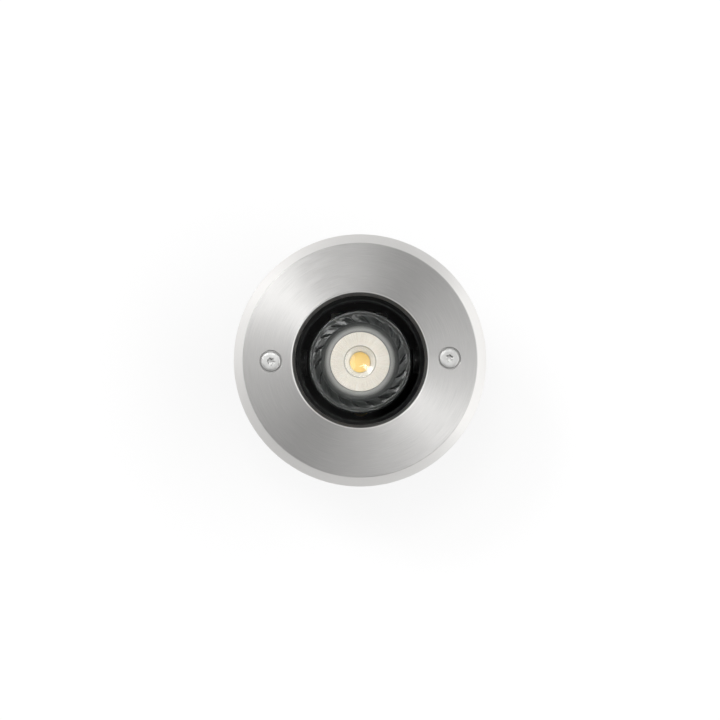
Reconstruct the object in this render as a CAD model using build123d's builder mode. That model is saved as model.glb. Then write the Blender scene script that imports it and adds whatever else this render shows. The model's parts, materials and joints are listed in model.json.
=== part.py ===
from build123d import *

import os
from math import cos, hypot, radians, sin

# In-ground well light: a round steel cover with a toughened glass, over a cast housing that
# stands in a buried mounting sleeve. A reflector lamp hangs in a cradle that tilts, and the
# cradle hangs in a turntable that turns. Millimetres, +Z out of the ground, foot at Z = 0.

os.makedirs("parts", exist_ok=True)

# ---------------------------------------------------------------- clearances
running_gap = 0.3  # between pieces that move past each other
pivot_gap = 0.08  # radial, a pin in its own hole
fit_gap = 0.1  # radial, a screw or ring in its seat
overlap = 1.0  # how far a form runs into the form it is joined to

# ---------------------------------------------------------------- heights, from the foot up
cable_space = 11.5  # free height under the glands, where the cables loop
gland_nut_len = 13.2
gland_flange_t = 5.3
gland_seal_t = 1.0
floor_t = 3.5
wiring_room = 15.0  # between the housing floor and the cradle
strap_t = 1.2
holder_h = 17.5
lamp_len = 47.0  # from the front rim to the seat of the pins
front_room = 9.0  # from the lamp's rim to the seat of the glass
baffle_t = 1.5
gasket_lip = 1.2
glass_t = 8.0
gasket_top = 1.0
pocket_depth = 1.5
bezel_t = 5.0

gland_flange_z = cable_space + gland_nut_len
floor_z = gland_flange_z + gland_flange_t + gland_seal_t
floor_top = floor_z + floor_t
strap_z = floor_top + wiring_room
holder_z = strap_z + strap_t
holder_top = holder_z + holder_h
pin_seat_z = holder_top + running_gap
lamp_front = pin_seat_z + lamp_len
glass_seat_z = lamp_front + front_room
baffle_z = glass_seat_z + running_gap
gasket_z = baffle_z + baffle_t
glass_z = gasket_z + gasket_lip
glass_top = glass_z + glass_t
pocket_z = glass_top + gasket_top
bezel_z = pocket_z - pocket_depth
bezel_top = bezel_z + bezel_t
rim_top = bezel_z - running_gap  # top of the housing and of the sleeve

# ---------------------------------------------------------------- lamp
lamp_r = 25.0
lamp_rim_h = 3.0
lamp_rim_t = 1.4
vane_len = 6.5  # from the hub out to the lamp's edge
hub_wall = 1.1
hub_shoulder = 1.2
sink_len = 30.0
core_end_r = 13.5
fin_end = 1.1  # height of the fins over the core at its end
vane_count = 18
vane_drop = 0.8
vane_rim_bite = 0.56
vane_root_deg = 7.0
vane_tip_deg = 12.0
vane_sweep_deg = 24.0
vane_curl_deg = 16.0
lens_ring_w = 3.1
lens_seat_drop = 3.0
lens_flange_t = 1.4
lens_drop = 0.6
lens_round = 0.3
lens_dish_r = 7.6
lens_dish_depth = 0.5
lens_gap = 0.4  # between the light source and the optic's foot
lens_foot_w = 0.8
lens_well_gap = 0.6
lens_well_draft = 0.4
lens_well_h = 2.2
lens_well_dome = 0.8
clamp_drop = 0.1
clamp_fall = 0.4
clamp_round = 0.2
well_depth = 12.0
board_r = 12.0
board_t = 1.4
chip_r = 5.0
chip_t = 0.8
base_inset = 0.9
base_step = 4.0
base_round = 1.0
pin_pitch_r = 5.0
pin_neck_r = 1.3
pin_head_r = 2.5
pin_len = 7.0
pin_head_h = 4.0
twist_deg = 30.0
hub_r = lamp_r - vane_len
hub_bore_r = hub_r - hub_wall
lens_r = hub_bore_r - lens_ring_w
sink_end_r = core_end_r + fin_end
base_end_r = core_end_r - base_inset

# ---------------------------------------------------------------- cradle, turntable
tilt_deg = 15.0
arm_gap = 0.6
arm_w = 12.0
strap_bend = 3.0
arm_flare_low = 12.0  # height above the strap where the arms start to flare
arm_flare_high = 36.0  # height above the strap where they stand upright again
pivot_r = 2.0
pivot_head_r = 3.5
pivot_head_t = 2.3
pivot_washer_t = 0.8
pivot_washer_r = 4.2
ear_t = 1.5
ear_over_pivot = 4.0
ear_len = 16.0
ring_t = 1.5
ring_drop = 9.2  # from the pivots down to the underside of the turntable
ring_w = 6.8
ring_clear = 1.4
arm_x = lamp_r + arm_gap
arm_out = arm_x + strap_t
ear_x = arm_out + running_gap
ear_out = ear_x + ear_t
washer_x = ear_out + running_gap
head_x = washer_x + pivot_washer_t
ear_top = lamp_front + ear_over_pivot
ring_z = lamp_front - ring_drop
ring_top = ring_z + ring_t
arm_swing_y = arm_w / 2 * cos(radians(tilt_deg)) + ring_drop * sin(radians(tilt_deg))
ring_in_r = round(hypot(arm_out, arm_swing_y) + ring_clear, 1)
ring_r = ring_in_r + ring_w
holder_w = 28.0
holder_d = 16.0
holder_corner_r = 3.2
holder_nose_r = 13.5
holder_nose_h = 6.2
holder_face_t = 2.3
contact_t = 0.6
contact_drop = 0.3
holder_screw_x = 11.0
holder_screw_r = 1.25
holder_screw_len = 7.0
holder_screw_head_r = 2.6
holder_screw_head_h = 2.0
lead_hole_r = 1.5
slot_clear = 0.4  # radial, round the pins in the lampholder
strap_half = holder_w / 2 + strap_bend + strap_t / 2

# ---------------------------------------------------------------- housing
housing_wall = 3.5
ledge_w = 3.0
clip_t = 1.2
clip_cover = 2.7
clip_groove = 1.0
clip_mouth_deg = 16.0
clip_eye_r = 2.6
clip_eye_hole_r = 1.0
housing_r_in = ring_r + running_gap
well_r_in = housing_r_in - ledge_w
housing_r = housing_r_in + housing_wall
well_r = well_r_in + housing_wall
ledge_z = ring_z - running_gap
clip_z = ring_top + running_gap
flange_t = 5.0
flange_land = 0.5  # how far the flange lies on the collar
centring_rib_count = 6
centring_rib_t = 2.5
centring_rib_rise = 11.0
centring_rib_z = floor_z + centring_rib_rise

# ---------------------------------------------------------------- cover
bezel_overhang = 3.0
chamfer_w = 4.5
chamfer_h = 2.5
window_lip = 0.5
window_cone = 1.6  # how much the window narrows towards the glass
window_cover = 2.2  # how far the window's foot hides the gasket
gasket_wall = 1.8
gasket_lip_w = 3.6
glass_r = housing_r_in
glass_edge = 0.6
gasket_r = glass_r + gasket_wall
gasket_in_r = glass_r - gasket_lip_w
seat_r = gasket_r + running_gap
window_end_r = gasket_in_r - window_cover
window_r = window_end_r + window_cone
baffle_reveal = 3.5  # the dark gap round the lamp
baffle_edge_r = lamp_r + baffle_reveal
baffle_flare = 1.3
skirt_clear = 1.0
skirt_z = ear_top + skirt_clear
cover_hole_wall = 1.05
cover_screw_r = 2.45
cover_screw_x = seat_r + cover_hole_wall + running_gap + cover_screw_r
cover_head_r = 4.65
cover_head_rim = 1.0
cover_head_sunk = 0.2
cover_head_round = 0.25
cover_head_gap = 0.7
cover_screw_len = 24.0
screw_point = 0.6
drive_r = 1.35
drive_lobe_r = 0.42
drive_depth = 1.6
drive_lobes = 6
insert_r = 3.2
insert_len = 10.5
insert_sunk = 0.5
boss_r = 6.0
boss_floor = 3.0
screw_end_room = 1.0
head_seat_z = bezel_top - cover_head_sunk - cover_head_rim
screw_cone_h = cover_head_r - cover_screw_r
insert_top = glass_seat_z - insert_sunk
insert_z = insert_top - insert_len
cover_screw_z = head_seat_z - cover_screw_len
boss_hole_z = min(insert_z, cover_screw_z - screw_end_room)
boss_z = boss_hole_z - boss_floor

# ---------------------------------------------------------------- sleeve
tube_wall = 2.5
tube_gap = 2.0
collar_wall = 3.0
collar_room = 1.0  # height under the housing's bosses
collar_cone_h = 6.0
rest_rim_w = 3.0
rest_rim_t = 3.2
tube_r_in = housing_r + tube_gap
tube_r = tube_r_in + tube_wall
flange_z = rim_top - flange_t
collar_z = boss_z - collar_room
cone_z = collar_z - collar_cone_h
gusset_count = 8
gusset_t = 3.0
gusset_h = 18.0
gusset_in = 1.5
notch_r = 17.0
notch_h = 24.0
sleeve_boss_r = 4.2
sleeve_boss_h = 15.0
sleeve_boss_web = 0.2
housing_screw_y = seat_r + housing_wall + running_gap + sleeve_boss_r
collar_r_in = housing_screw_y + sleeve_boss_r + sleeve_boss_web
collar_r = collar_r_in + collar_wall
flange_r = collar_r_in + flange_land
recess_r = flange_r + running_gap
rest_rim_r = collar_r + rest_rim_w
bezel_r = rest_rim_r + bezel_overhang
housing_screw_r = 2.0
housing_screw_len = 12.0
housing_head_r = 3.7
housing_head_h = 2.4
housing_head_gap = 0.3
screw_head_round = 0.8

# ---------------------------------------------------------------- glands and wiring
gland_x = 16.0
gland_thread_r = 8.0
gland_thread_over = 1.0
gland_bore_r = 5.3
gland_hex_r = 11.5
gland_collet_r = 7.5
gland_collet_bore_r = 6.5
gland_collet_len = 9.7
gland_locknut_h = 4.0
gland_seal_r = 10.0
grommet_r = 6.4
grommet_bore_r = 4.0
grommet_len = 7.0
gland_dome_h = 4.5
gland_dome_taper = 25
gland_dome_wall = 3.0
gland_mouth_r = 5.2
gland_dome_r = gland_hex_r * cos(radians(30)) - fit_gap
gland_top = floor_top + gland_locknut_h + gland_thread_over
pole_count = 3
pole_w = 7.0
pole_corner_r = 1.2
block_y = 20.5
block_d = 14.0
block_h = 11.0
block_web_h = 5.5
barrel_r = 2.9
barrel_bore_r = 1.7
barrel_end = 1.0
barrel_drop = 4.2
clamp_screw_y = 3.6
clamp_screw_r = 1.4
clamp_bite = 1.0
clamp_sunk = 1.0
block_screw_r = 1.4
block_screw_head_r = 1.8
block_screw_head_h = 1.4
block_screw_bite = 2.4
block_screw_gap = 0.2
pole_pitch = pole_w + 2 * (block_screw_head_r + block_screw_gap)
earth_y = -21.0
earth_pad_r = 5.5
earth_pad_h = 2.5
earth_screw_r = 2.0
earth_head_r = 3.6
earth_head_h = 2.6
earth_washer_r = 4.4
earth_washer_t = 0.9
earth_bite = 4.5
slot_w = 0.9
slot_depth = 1.0

gland_centres = [(gland_x, 0), (-gland_x, 0)]
cover_screws = [(cover_screw_x, 0), (-cover_screw_x, 0)]
housing_screw_places = [(0, housing_screw_y), (0, -housing_screw_y)]
holder_screw_places = [(holder_screw_x, 0), (-holder_screw_x, 0)]
pole_xs = [(i - (pole_count - 1) / 2) * pole_pitch for i in range(pole_count)]
web_xs = [(i - (pole_count - 2) / 2) * pole_pitch for i in range(pole_count - 1)]


def upright(angle):
    """The plane that stands on the ground along a ray from the light's axis."""
    ray = radians(angle)
    return Plane(origin=(0, 0, 0), x_dir=(cos(ray), sin(ray), 0), z_dir=(sin(ray), -cos(ray), 0))


def polar(radius, angle):
    """A point of the plan, by its radius and its angle in degrees."""
    return (radius * cos(radians(angle)), radius * sin(radians(angle)))


# ================================================================ mounting sleeve
# Moulded pot that is cast into the ground: a tube, a wider collar that holds the housing's
# flange, a rim that carries the cover's edge, gussets under the collar and cable notches.
with BuildPart() as mounting_sleeve:
    with BuildSketch(Plane.XZ):
        with BuildLine():
            Polyline(
                (tube_r_in, 0),
                (tube_r, 0),
                (tube_r, cone_z),
                (collar_r, collar_z),
                (collar_r, rim_top - rest_rim_t),
                (rest_rim_r, rim_top - rest_rim_t),
                (rest_rim_r, rim_top),
                (recess_r, rim_top),
                (recess_r, flange_z),
                (collar_r_in, flange_z),
                (collar_r_in, collar_z),
                (tube_r_in, cone_z),
                close=True,
            )
        make_face()
    revolve(axis=Axis.Z)
    for gusset in range(gusset_count):
        with BuildSketch(upright((gusset + 0.5) * 360 / gusset_count)):
            with BuildLine():
                Polyline(
                    (tube_r - gusset_in, cone_z - gusset_h),
                    (tube_r + gusset_in, cone_z - gusset_h),
                    (collar_r - gusset_in, collar_z),
                    (tube_r - gusset_in, cone_z),
                    close=True,
                )
            make_face()
        extrude(amount=gusset_t / 2, both=True)
    with BuildSketch(Plane.XY.offset(flange_z)):
        for x, y in housing_screw_places:
            side = 1 if y > 0 else -1
            with Locations((x, y)):
                Circle(sleeve_boss_r)
            with Locations((x, side * (housing_screw_y + collar_r_in + overlap) / 2)):
                Rectangle(2 * sleeve_boss_r, collar_r_in + overlap - housing_screw_y)
    extrude(amount=-sleeve_boss_h)
    with BuildSketch(Plane.XY.offset(flange_z)):
        with Locations(*housing_screw_places):
            Circle(housing_screw_r + fit_gap)
    extrude(amount=-housing_screw_len, mode=Mode.SUBTRACT)
    with BuildSketch(Plane.XZ):
        with Locations((0, notch_h - notch_r)):
            Circle(notch_r)
        with Locations((0, (notch_h - notch_r) / 2)):
            Rectangle(2 * notch_r, notch_h - notch_r)
    extrude(amount=collar_r, both=True, mode=Mode.SUBTRACT)
mounting_sleeve.part.label = "mounting_sleeve"
export_step(mounting_sleeve.part, "parts/mounting_sleeve.step")

# ================================================================ lamp housing
# Cast cup: a thick flange, a step that the turntable turns on, a groove for its clip, bosses
# for the cover screws outside the wall, and a floor with the gland holes and an earth pad.
with BuildPart() as lamp_housing:
    with BuildSketch(Plane.XZ):
        with BuildLine():
            Polyline(
                (0, floor_z),
                (well_r, floor_z),
                (well_r, ledge_z - ledge_w),
                (housing_r, ledge_z),
                (housing_r, flange_z - ledge_w),
                (seat_r + housing_wall, flange_z),
                (flange_r, flange_z),
                (flange_r, rim_top),
                (0, rim_top),
                close=True,
            )
        make_face()
    revolve(axis=Axis.Z)
    with BuildSketch(Plane.XY.offset(boss_z)):
        with Locations(*cover_screws):
            Circle(boss_r)
    extrude(amount=rim_top - boss_z)
    for rib in range(centring_rib_count):
        with BuildSketch(upright((rib + 0.5) * 360 / centring_rib_count)):
            with BuildLine():
                Polyline(
                    (well_r - gusset_in, centring_rib_z),
                    (well_r, centring_rib_z),
                    (tube_r_in - running_gap, centring_rib_z + tube_r_in - well_r),
                    (tube_r_in - running_gap, cone_z),
                    (well_r - gusset_in, cone_z),
                    close=True,
                )
            make_face()
        extrude(amount=centring_rib_t / 2, both=True)
    with BuildSketch(Plane.XZ):
        with BuildLine():
            Polyline(
                (0, floor_top),
                (well_r_in, floor_top),
                (well_r_in, ledge_z),
                (housing_r_in, ledge_z),
                (housing_r_in, clip_z),
                (housing_r_in + clip_groove, clip_z),
                (housing_r_in + clip_groove, clip_z + clip_t),
                (housing_r_in, clip_z + clip_t),
                (housing_r_in, glass_seat_z),
                (seat_r, glass_seat_z),
                (seat_r, rim_top),
                (0, rim_top),
                close=True,
            )
        make_face()
    revolve(axis=Axis.Z, mode=Mode.SUBTRACT)
    with BuildSketch(Plane.XY.offset(floor_top)):
        with Locations((0, earth_y)):
            Circle(earth_pad_r)
    extrude(amount=earth_pad_h)
    with Locations((0, earth_y, floor_top + earth_pad_h)):
        Hole(earth_screw_r + fit_gap, depth=earth_bite + fit_gap)
    with Locations(*[(x, y, floor_top) for x, y in gland_centres]):
        Hole(gland_thread_r + fit_gap, depth=floor_t)
    with Locations(*[(x, block_y, floor_top) for x in web_xs]):
        Hole(block_screw_r + fit_gap, depth=block_screw_bite + fit_gap)
    with Locations(*[(x, y, insert_top) for x, y in cover_screws]):
        Hole(insert_r + fit_gap, depth=insert_len)
    with Locations(*[(x, y, rim_top) for x, y in cover_screws]):
        Hole(cover_screw_r + running_gap, depth=rim_top - boss_hole_z)
    with Locations(*[(x, y, rim_top) for x, y in housing_screw_places]):
        CounterBoreHole(
            housing_screw_r + running_gap,
            housing_head_r + housing_head_gap,
            housing_head_h + housing_head_gap,
            depth=flange_t,
        )
lamp_housing.part.label = "lamp_housing"
export_step(lamp_housing.part, "parts/lamp_housing.step")

# Screws that fix the housing's flange in the sleeve.
housing_head_z = rim_top - housing_head_h - housing_head_gap
with BuildPart() as housing_screws:
    with BuildSketch(Plane.XY.offset(housing_head_z)):
        with Locations(*housing_screw_places):
            Circle(housing_head_r)
    extrude(amount=housing_head_h)
    fillet(housing_screws.edges().group_by(Axis.Z)[-1], screw_head_round)
    with BuildSketch(Plane.XY.offset(housing_head_z)):
        with Locations(*housing_screw_places):
            Circle(housing_screw_r)
    extrude(amount=-(housing_screw_len - fit_gap))
    with BuildSketch(Plane.XY.offset(rim_top)):
        with Locations(*housing_screw_places):
            Rectangle(2 * housing_screw_r, slot_w)
            Rectangle(slot_w, 2 * housing_screw_r)
    extrude(amount=-(housing_head_gap + slot_depth), mode=Mode.SUBTRACT)
housing_screws.part.label = "housing_screws"
export_step(housing_screws.part, "parts/housing_screws.step")

# Brass inserts that the cover screws bite in.
with BuildPart() as cover_inserts:
    with BuildSketch(Plane.XY.offset(insert_z)):
        with Locations(*cover_screws):
            Circle(insert_r)
            Circle(cover_screw_r + fit_gap, mode=Mode.SUBTRACT)
    extrude(amount=insert_len)
cover_inserts.part.label = "cover_inserts"
export_step(cover_inserts.part, "parts/cover_inserts.step")

# ================================================================ cover
# Turned steel cover plate: a wide chamfer, a conical window, a pocket for the gasket and
# two screw wells, each a narrow ring of shadow round its sunk head.
with BuildPart() as front_bezel:
    with BuildSketch(Plane.XZ):
        with BuildLine():
            Polyline(
                (bezel_r, bezel_z),
                (bezel_r, bezel_top - chamfer_h),
                (bezel_r - chamfer_w, bezel_top),
                (window_r + window_lip, bezel_top),
                (window_r, bezel_top - window_lip),
                (window_end_r, pocket_z),
                (seat_r, pocket_z),
                (seat_r, bezel_z),
                close=True,
            )
        make_face()
    revolve(axis=Axis.Z)
    with Locations(*[(x, y, head_seat_z) for x, y in cover_screws]):
        CounterSinkHole(
            cover_screw_r + running_gap, cover_head_r + fit_gap, counter_sink_angle=90
        )
    with Locations(*[(x, y, bezel_top) for x, y in cover_screws]):
        Hole(cover_head_r + cover_head_gap, depth=bezel_top - head_seat_z)
front_bezel.part.label = "front_bezel"
export_step(front_bezel.part, "parts/front_bezel.step")

# Cover screws: sunk heads with a six-lobe drive.
head_top = head_seat_z + cover_head_rim
with BuildPart() as cover_screw_pair:
    for x, y in cover_screws:
        with BuildSketch(Plane.XZ):
            with BuildLine():
                Polyline(
                    (x, cover_screw_z),
                    (x + cover_screw_r - screw_point, cover_screw_z),
                    (x + cover_screw_r, cover_screw_z + screw_point),
                    (x + cover_screw_r, head_seat_z - screw_cone_h),
                    (x + cover_head_r, head_seat_z),
                    (x + cover_head_r, head_top - cover_head_round),
                    (x + cover_head_r - cover_head_round, head_top),
                    (x, head_top),
                    close=True,
                )
            make_face()
        revolve(axis=Axis((x, 0, 0), (0, 0, 1)))
    with BuildSketch(Plane.XY.offset(head_top)):
        with Locations(*cover_screws):
            Circle(drive_r)
            with PolarLocations(drive_r, drive_lobes):
                Circle(drive_lobe_r)
    extrude(amount=-drive_depth, mode=Mode.SUBTRACT)
cover_screw_pair.part.label = "cover_screws"
export_step(cover_screw_pair.part, "parts/cover_screws.step")

# Toughened glass with a ground edge.
with BuildPart() as front_glass:
    with BuildSketch(Plane.XY.offset(glass_z)):
        Circle(glass_r)
    extrude(amount=glass_t)
    chamfer(front_glass.edges().filter_by(GeomType.CIRCLE), glass_edge)
front_glass.part.label = "front_glass"
export_step(front_glass.part, "parts/front_glass.step")

# U-shaped gasket round the glass's edge.
with BuildPart() as glass_gasket:
    with BuildSketch(Plane.XZ):
        with BuildLine():
            Polyline(
                (gasket_in_r, gasket_z),
                (gasket_r, gasket_z),
                (gasket_r, pocket_z),
                (gasket_in_r, pocket_z),
                (gasket_in_r, glass_top),
                (glass_r + fit_gap, glass_top),
                (glass_r + fit_gap, glass_z),
                (gasket_in_r, glass_z),
                close=True,
            )
        make_face()
    revolve(axis=Axis.Z)
glass_gasket.part.label = "glass_gasket"
export_step(glass_gasket.part, "parts/glass_gasket.step")

# Black glare baffle under the glass: a flange that the gasket presses on its seat and a
# skirt that hides the gap round the lamp.
with BuildPart() as glare_baffle:
    with BuildSketch(Plane.XZ):
        with BuildLine():
            Polyline(
                (baffle_edge_r, gasket_z),
                (gasket_r, gasket_z),
                (gasket_r, baffle_z),
                (baffle_edge_r + baffle_t + baffle_flare, baffle_z),
                (baffle_edge_r + baffle_t + baffle_flare, skirt_z),
                (baffle_edge_r + baffle_flare, skirt_z),
                (baffle_edge_r + baffle_flare / 2, baffle_z),
                close=True,
            )
        make_face()
    revolve(axis=Axis.Z)
glare_baffle.part.label = "glare_baffle"
export_step(glare_baffle.part, "parts/glare_baffle.step")

# ================================================================ turntable
# Pressed ring with two ears that carry the tilt pivots.
with BuildPart() as turntable_ring:
    with BuildSketch(Plane.XY.offset(ring_z)):
        Circle(ring_r)
        Circle(ring_in_r, mode=Mode.SUBTRACT)
        for side in (1, -1):
            with Locations((side * (ear_x + ring_in_r + overlap) / 2, 0)):
                Rectangle(ring_in_r + overlap - ear_x, arm_w)
    extrude(amount=ring_t)
    for ear_start in (ear_x, -ear_out):
        with BuildSketch(Plane.YZ.offset(ear_start)):
            with Locations((0, (ring_z + lamp_front) / 2)):
                Rectangle(arm_w, lamp_front - ring_z)
            with Locations((0, ear_top - ear_len / 2)):
                SlotOverall(ear_len, arm_w, rotation=90)
            with Locations((0, lamp_front)):
                Circle(pivot_r + pivot_gap, mode=Mode.SUBTRACT)
        extrude(amount=ear_t)
turntable_ring.part.label = "turntable_ring"
export_step(turntable_ring.part, "parts/turntable_ring.step")

# Spring clip that keeps the turntable on its step.
clip_out_r = housing_r_in + clip_groove - fit_gap
clip_in_r = housing_r_in - clip_cover
with BuildPart() as turntable_clip:
    with BuildSketch(Plane.XY.offset(clip_z + fit_gap)):
        Circle(clip_out_r)
        Circle(clip_in_r, mode=Mode.SUBTRACT)
        with BuildLine():
            Polyline(
                (0, 0),
                polar(2 * clip_out_r, 90 - clip_mouth_deg / 2),
                polar(2 * clip_out_r, 90 + clip_mouth_deg / 2),
                close=True,
            )
        make_face(mode=Mode.SUBTRACT)
        for end in (90 - clip_mouth_deg / 2, 90 + clip_mouth_deg / 2):
            with Locations(polar(clip_in_r, end)):
                Circle(clip_eye_r)
                Circle(clip_eye_hole_r, mode=Mode.SUBTRACT)
    extrude(amount=clip_t - 2 * fit_gap)
turntable_clip.part.label = "turntable_clip"
export_step(turntable_clip.part, "parts/turntable_clip.step")

# ================================================================ cradle
# Steel strap bent round the lamp, with the pivots in its two arms.
with BuildPart() as tilt_strap:
    with BuildSketch(Plane.XZ):
        with BuildLine() as strap_path:
            arm_mid = arm_x + strap_t / 2
            strap_mid_z = strap_z + strap_t / 2
            FilletPolyline(
                (-arm_mid, ear_top + arm_w),
                (-arm_mid, strap_z + arm_flare_high),
                (-strap_half, strap_z + arm_flare_low),
                (-strap_half, strap_mid_z),
                (strap_half, strap_mid_z),
                (strap_half, strap_z + arm_flare_low),
                (arm_mid, strap_z + arm_flare_high),
                (arm_mid, ear_top + arm_w),
                radius=strap_bend,
            )
        trace(line_width=strap_t)
    extrude(amount=arm_w / 2, both=True)
    with BuildSketch(Plane.YZ):
        with Locations((0, (strap_z + lamp_front) / 2)):
            Rectangle(arm_w, lamp_front - strap_z)
        with Locations((0, ear_top - ear_len / 2)):
            SlotOverall(ear_len, arm_w, rotation=90)
    extrude(amount=collar_r, both=True, mode=Mode.INTERSECT)
    with BuildSketch(Plane.YZ):
        with Locations((0, lamp_front)):
            Circle(pivot_r + fit_gap)
    extrude(amount=collar_r, both=True, mode=Mode.SUBTRACT)
    with Locations(*[(x, y, holder_z) for x, y in holder_screw_places]):
        Hole(holder_screw_r + running_gap, depth=strap_t)
    with Locations(*[(x, 0, holder_z) for x in (pin_pitch_r, -pin_pitch_r)]):
        Hole(lead_hole_r + running_gap, depth=strap_t)
tilt_strap.part.label = "tilt_strap"
export_step(tilt_strap.part, "parts/tilt_strap.step")

# Pivot screws, each with a shank through its ear and a low head outside.
with BuildPart() as pivot_screws:
    for side in (1, -1):
        with BuildSketch(Plane.YZ.offset(side * arm_x)):
            with Locations((0, lamp_front)):
                Circle(pivot_r)
        extrude(amount=side * (head_x - arm_x))
        with BuildSketch(Plane.YZ.offset(side * head_x)):
            with Locations((0, lamp_front)):
                Circle(pivot_head_r)
        extrude(amount=side * pivot_head_t)
    slot_planes = [Plane.YZ.offset(side * (head_x + pivot_head_t - slot_depth)) for side in (1, -1)]
    for side, slot_plane in zip((1, -1), slot_planes):
        with BuildSketch(slot_plane):
            with Locations((0, lamp_front)):
                Rectangle(slot_w, 2 * pivot_head_r + slot_w)
        extrude(amount=side * slot_depth, mode=Mode.SUBTRACT)
pivot_screws.part.label = "pivot_screws"
export_step(pivot_screws.part, "parts/pivot_screws.step")

# Spring washers between the ears and the heads: they give the tilt its friction.
with BuildPart() as pivot_washers:
    for side in (1, -1):
        with BuildSketch(Plane.YZ.offset(side * washer_x)):
            with Locations((0, lamp_front)):
                Circle(pivot_washer_r)
                Circle(pivot_r + fit_gap, mode=Mode.SUBTRACT)
        extrude(amount=side * pivot_washer_t)
pivot_washers.part.label = "pivot_washers"
export_step(pivot_washers.part, "parts/pivot_washers.step")

# Ceramic lampholder: a round nose with two keyhole slots that run in an arc, so that the
# lamp's pins enter, turn and lock under the face.
contact_z = pin_seat_z - pin_len - contact_drop - contact_t
with BuildPart() as lampholder:
    with BuildSketch(Plane.XY.offset(holder_z)):
        RectangleRounded(holder_w, holder_d, holder_corner_r)
    extrude(amount=holder_h - holder_nose_h)
    with BuildSketch(Plane.XY.offset(holder_top - holder_nose_h)):
        Circle(holder_nose_r)
    extrude(amount=holder_nose_h)
    with BuildSketch(Plane.XY.offset(holder_top)) as keyholes:
        for start in (0, 180):
            pin_path = CenterArc((0, 0), pin_pitch_r, start, twist_deg, mode=Mode.PRIVATE)
            SlotArc(pin_path, 2 * (pin_neck_r + slot_clear))
            with Locations(polar(pin_pitch_r, start + twist_deg)):
                Circle(pin_head_r + slot_clear)
    extrude(amount=-holder_face_t, mode=Mode.SUBTRACT)
    with BuildSketch(Plane.XY.offset(holder_top - holder_face_t)):
        for start in (0, 180):
            pin_path = CenterArc((0, 0), pin_pitch_r, start, twist_deg, mode=Mode.PRIVATE)
            SlotArc(pin_path, 2 * (pin_head_r + slot_clear))
    extrude(amount=contact_z - holder_top + holder_face_t, mode=Mode.SUBTRACT)
    with Locations(*[(x, y, holder_z + holder_screw_len) for x, y in holder_screw_places]):
        Hole(holder_screw_r + fit_gap, depth=holder_screw_len)
    with Locations(*[(x, 0, contact_z) for x in (pin_pitch_r, -pin_pitch_r)]):
        Hole(lead_hole_r, depth=contact_z - holder_z)
lampholder.part.label = "lampholder"
export_step(lampholder.part, "parts/lampholder.step")

# Spring contacts under the pins.
with BuildPart() as holder_contacts:
    with BuildSketch(Plane.XY.offset(contact_z)):
        for start in (0, 180):
            pin_path = CenterArc((0, 0), pin_pitch_r, start, twist_deg, mode=Mode.PRIVATE)
            SlotArc(pin_path, 2 * pin_head_r)
    extrude(amount=contact_t)
holder_contacts.part.label = "holder_contacts"
export_step(holder_contacts.part, "parts/holder_contacts.step")

# Screws through the strap into the lampholder.
with BuildPart() as holder_screws:
    with BuildSketch(Plane.XY.offset(strap_z)):
        with Locations(*holder_screw_places):
            Circle(holder_screw_head_r)
    extrude(amount=-holder_screw_head_h)
    with BuildSketch(Plane.XY.offset(strap_z)):
        with Locations(*holder_screw_places):
            Circle(holder_screw_r)
    extrude(amount=strap_t + holder_screw_len - fit_gap)
    with BuildSketch(Plane.XY.offset(strap_z - holder_screw_head_h)):
        with Locations(*holder_screw_places):
            Rectangle(slot_w, 2 * holder_screw_head_r + slot_w)
    extrude(amount=slot_depth, mode=Mode.SUBTRACT)
holder_screws.part.label = "holder_screws"
export_step(holder_screws.part, "parts/holder_screws.step")

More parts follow.
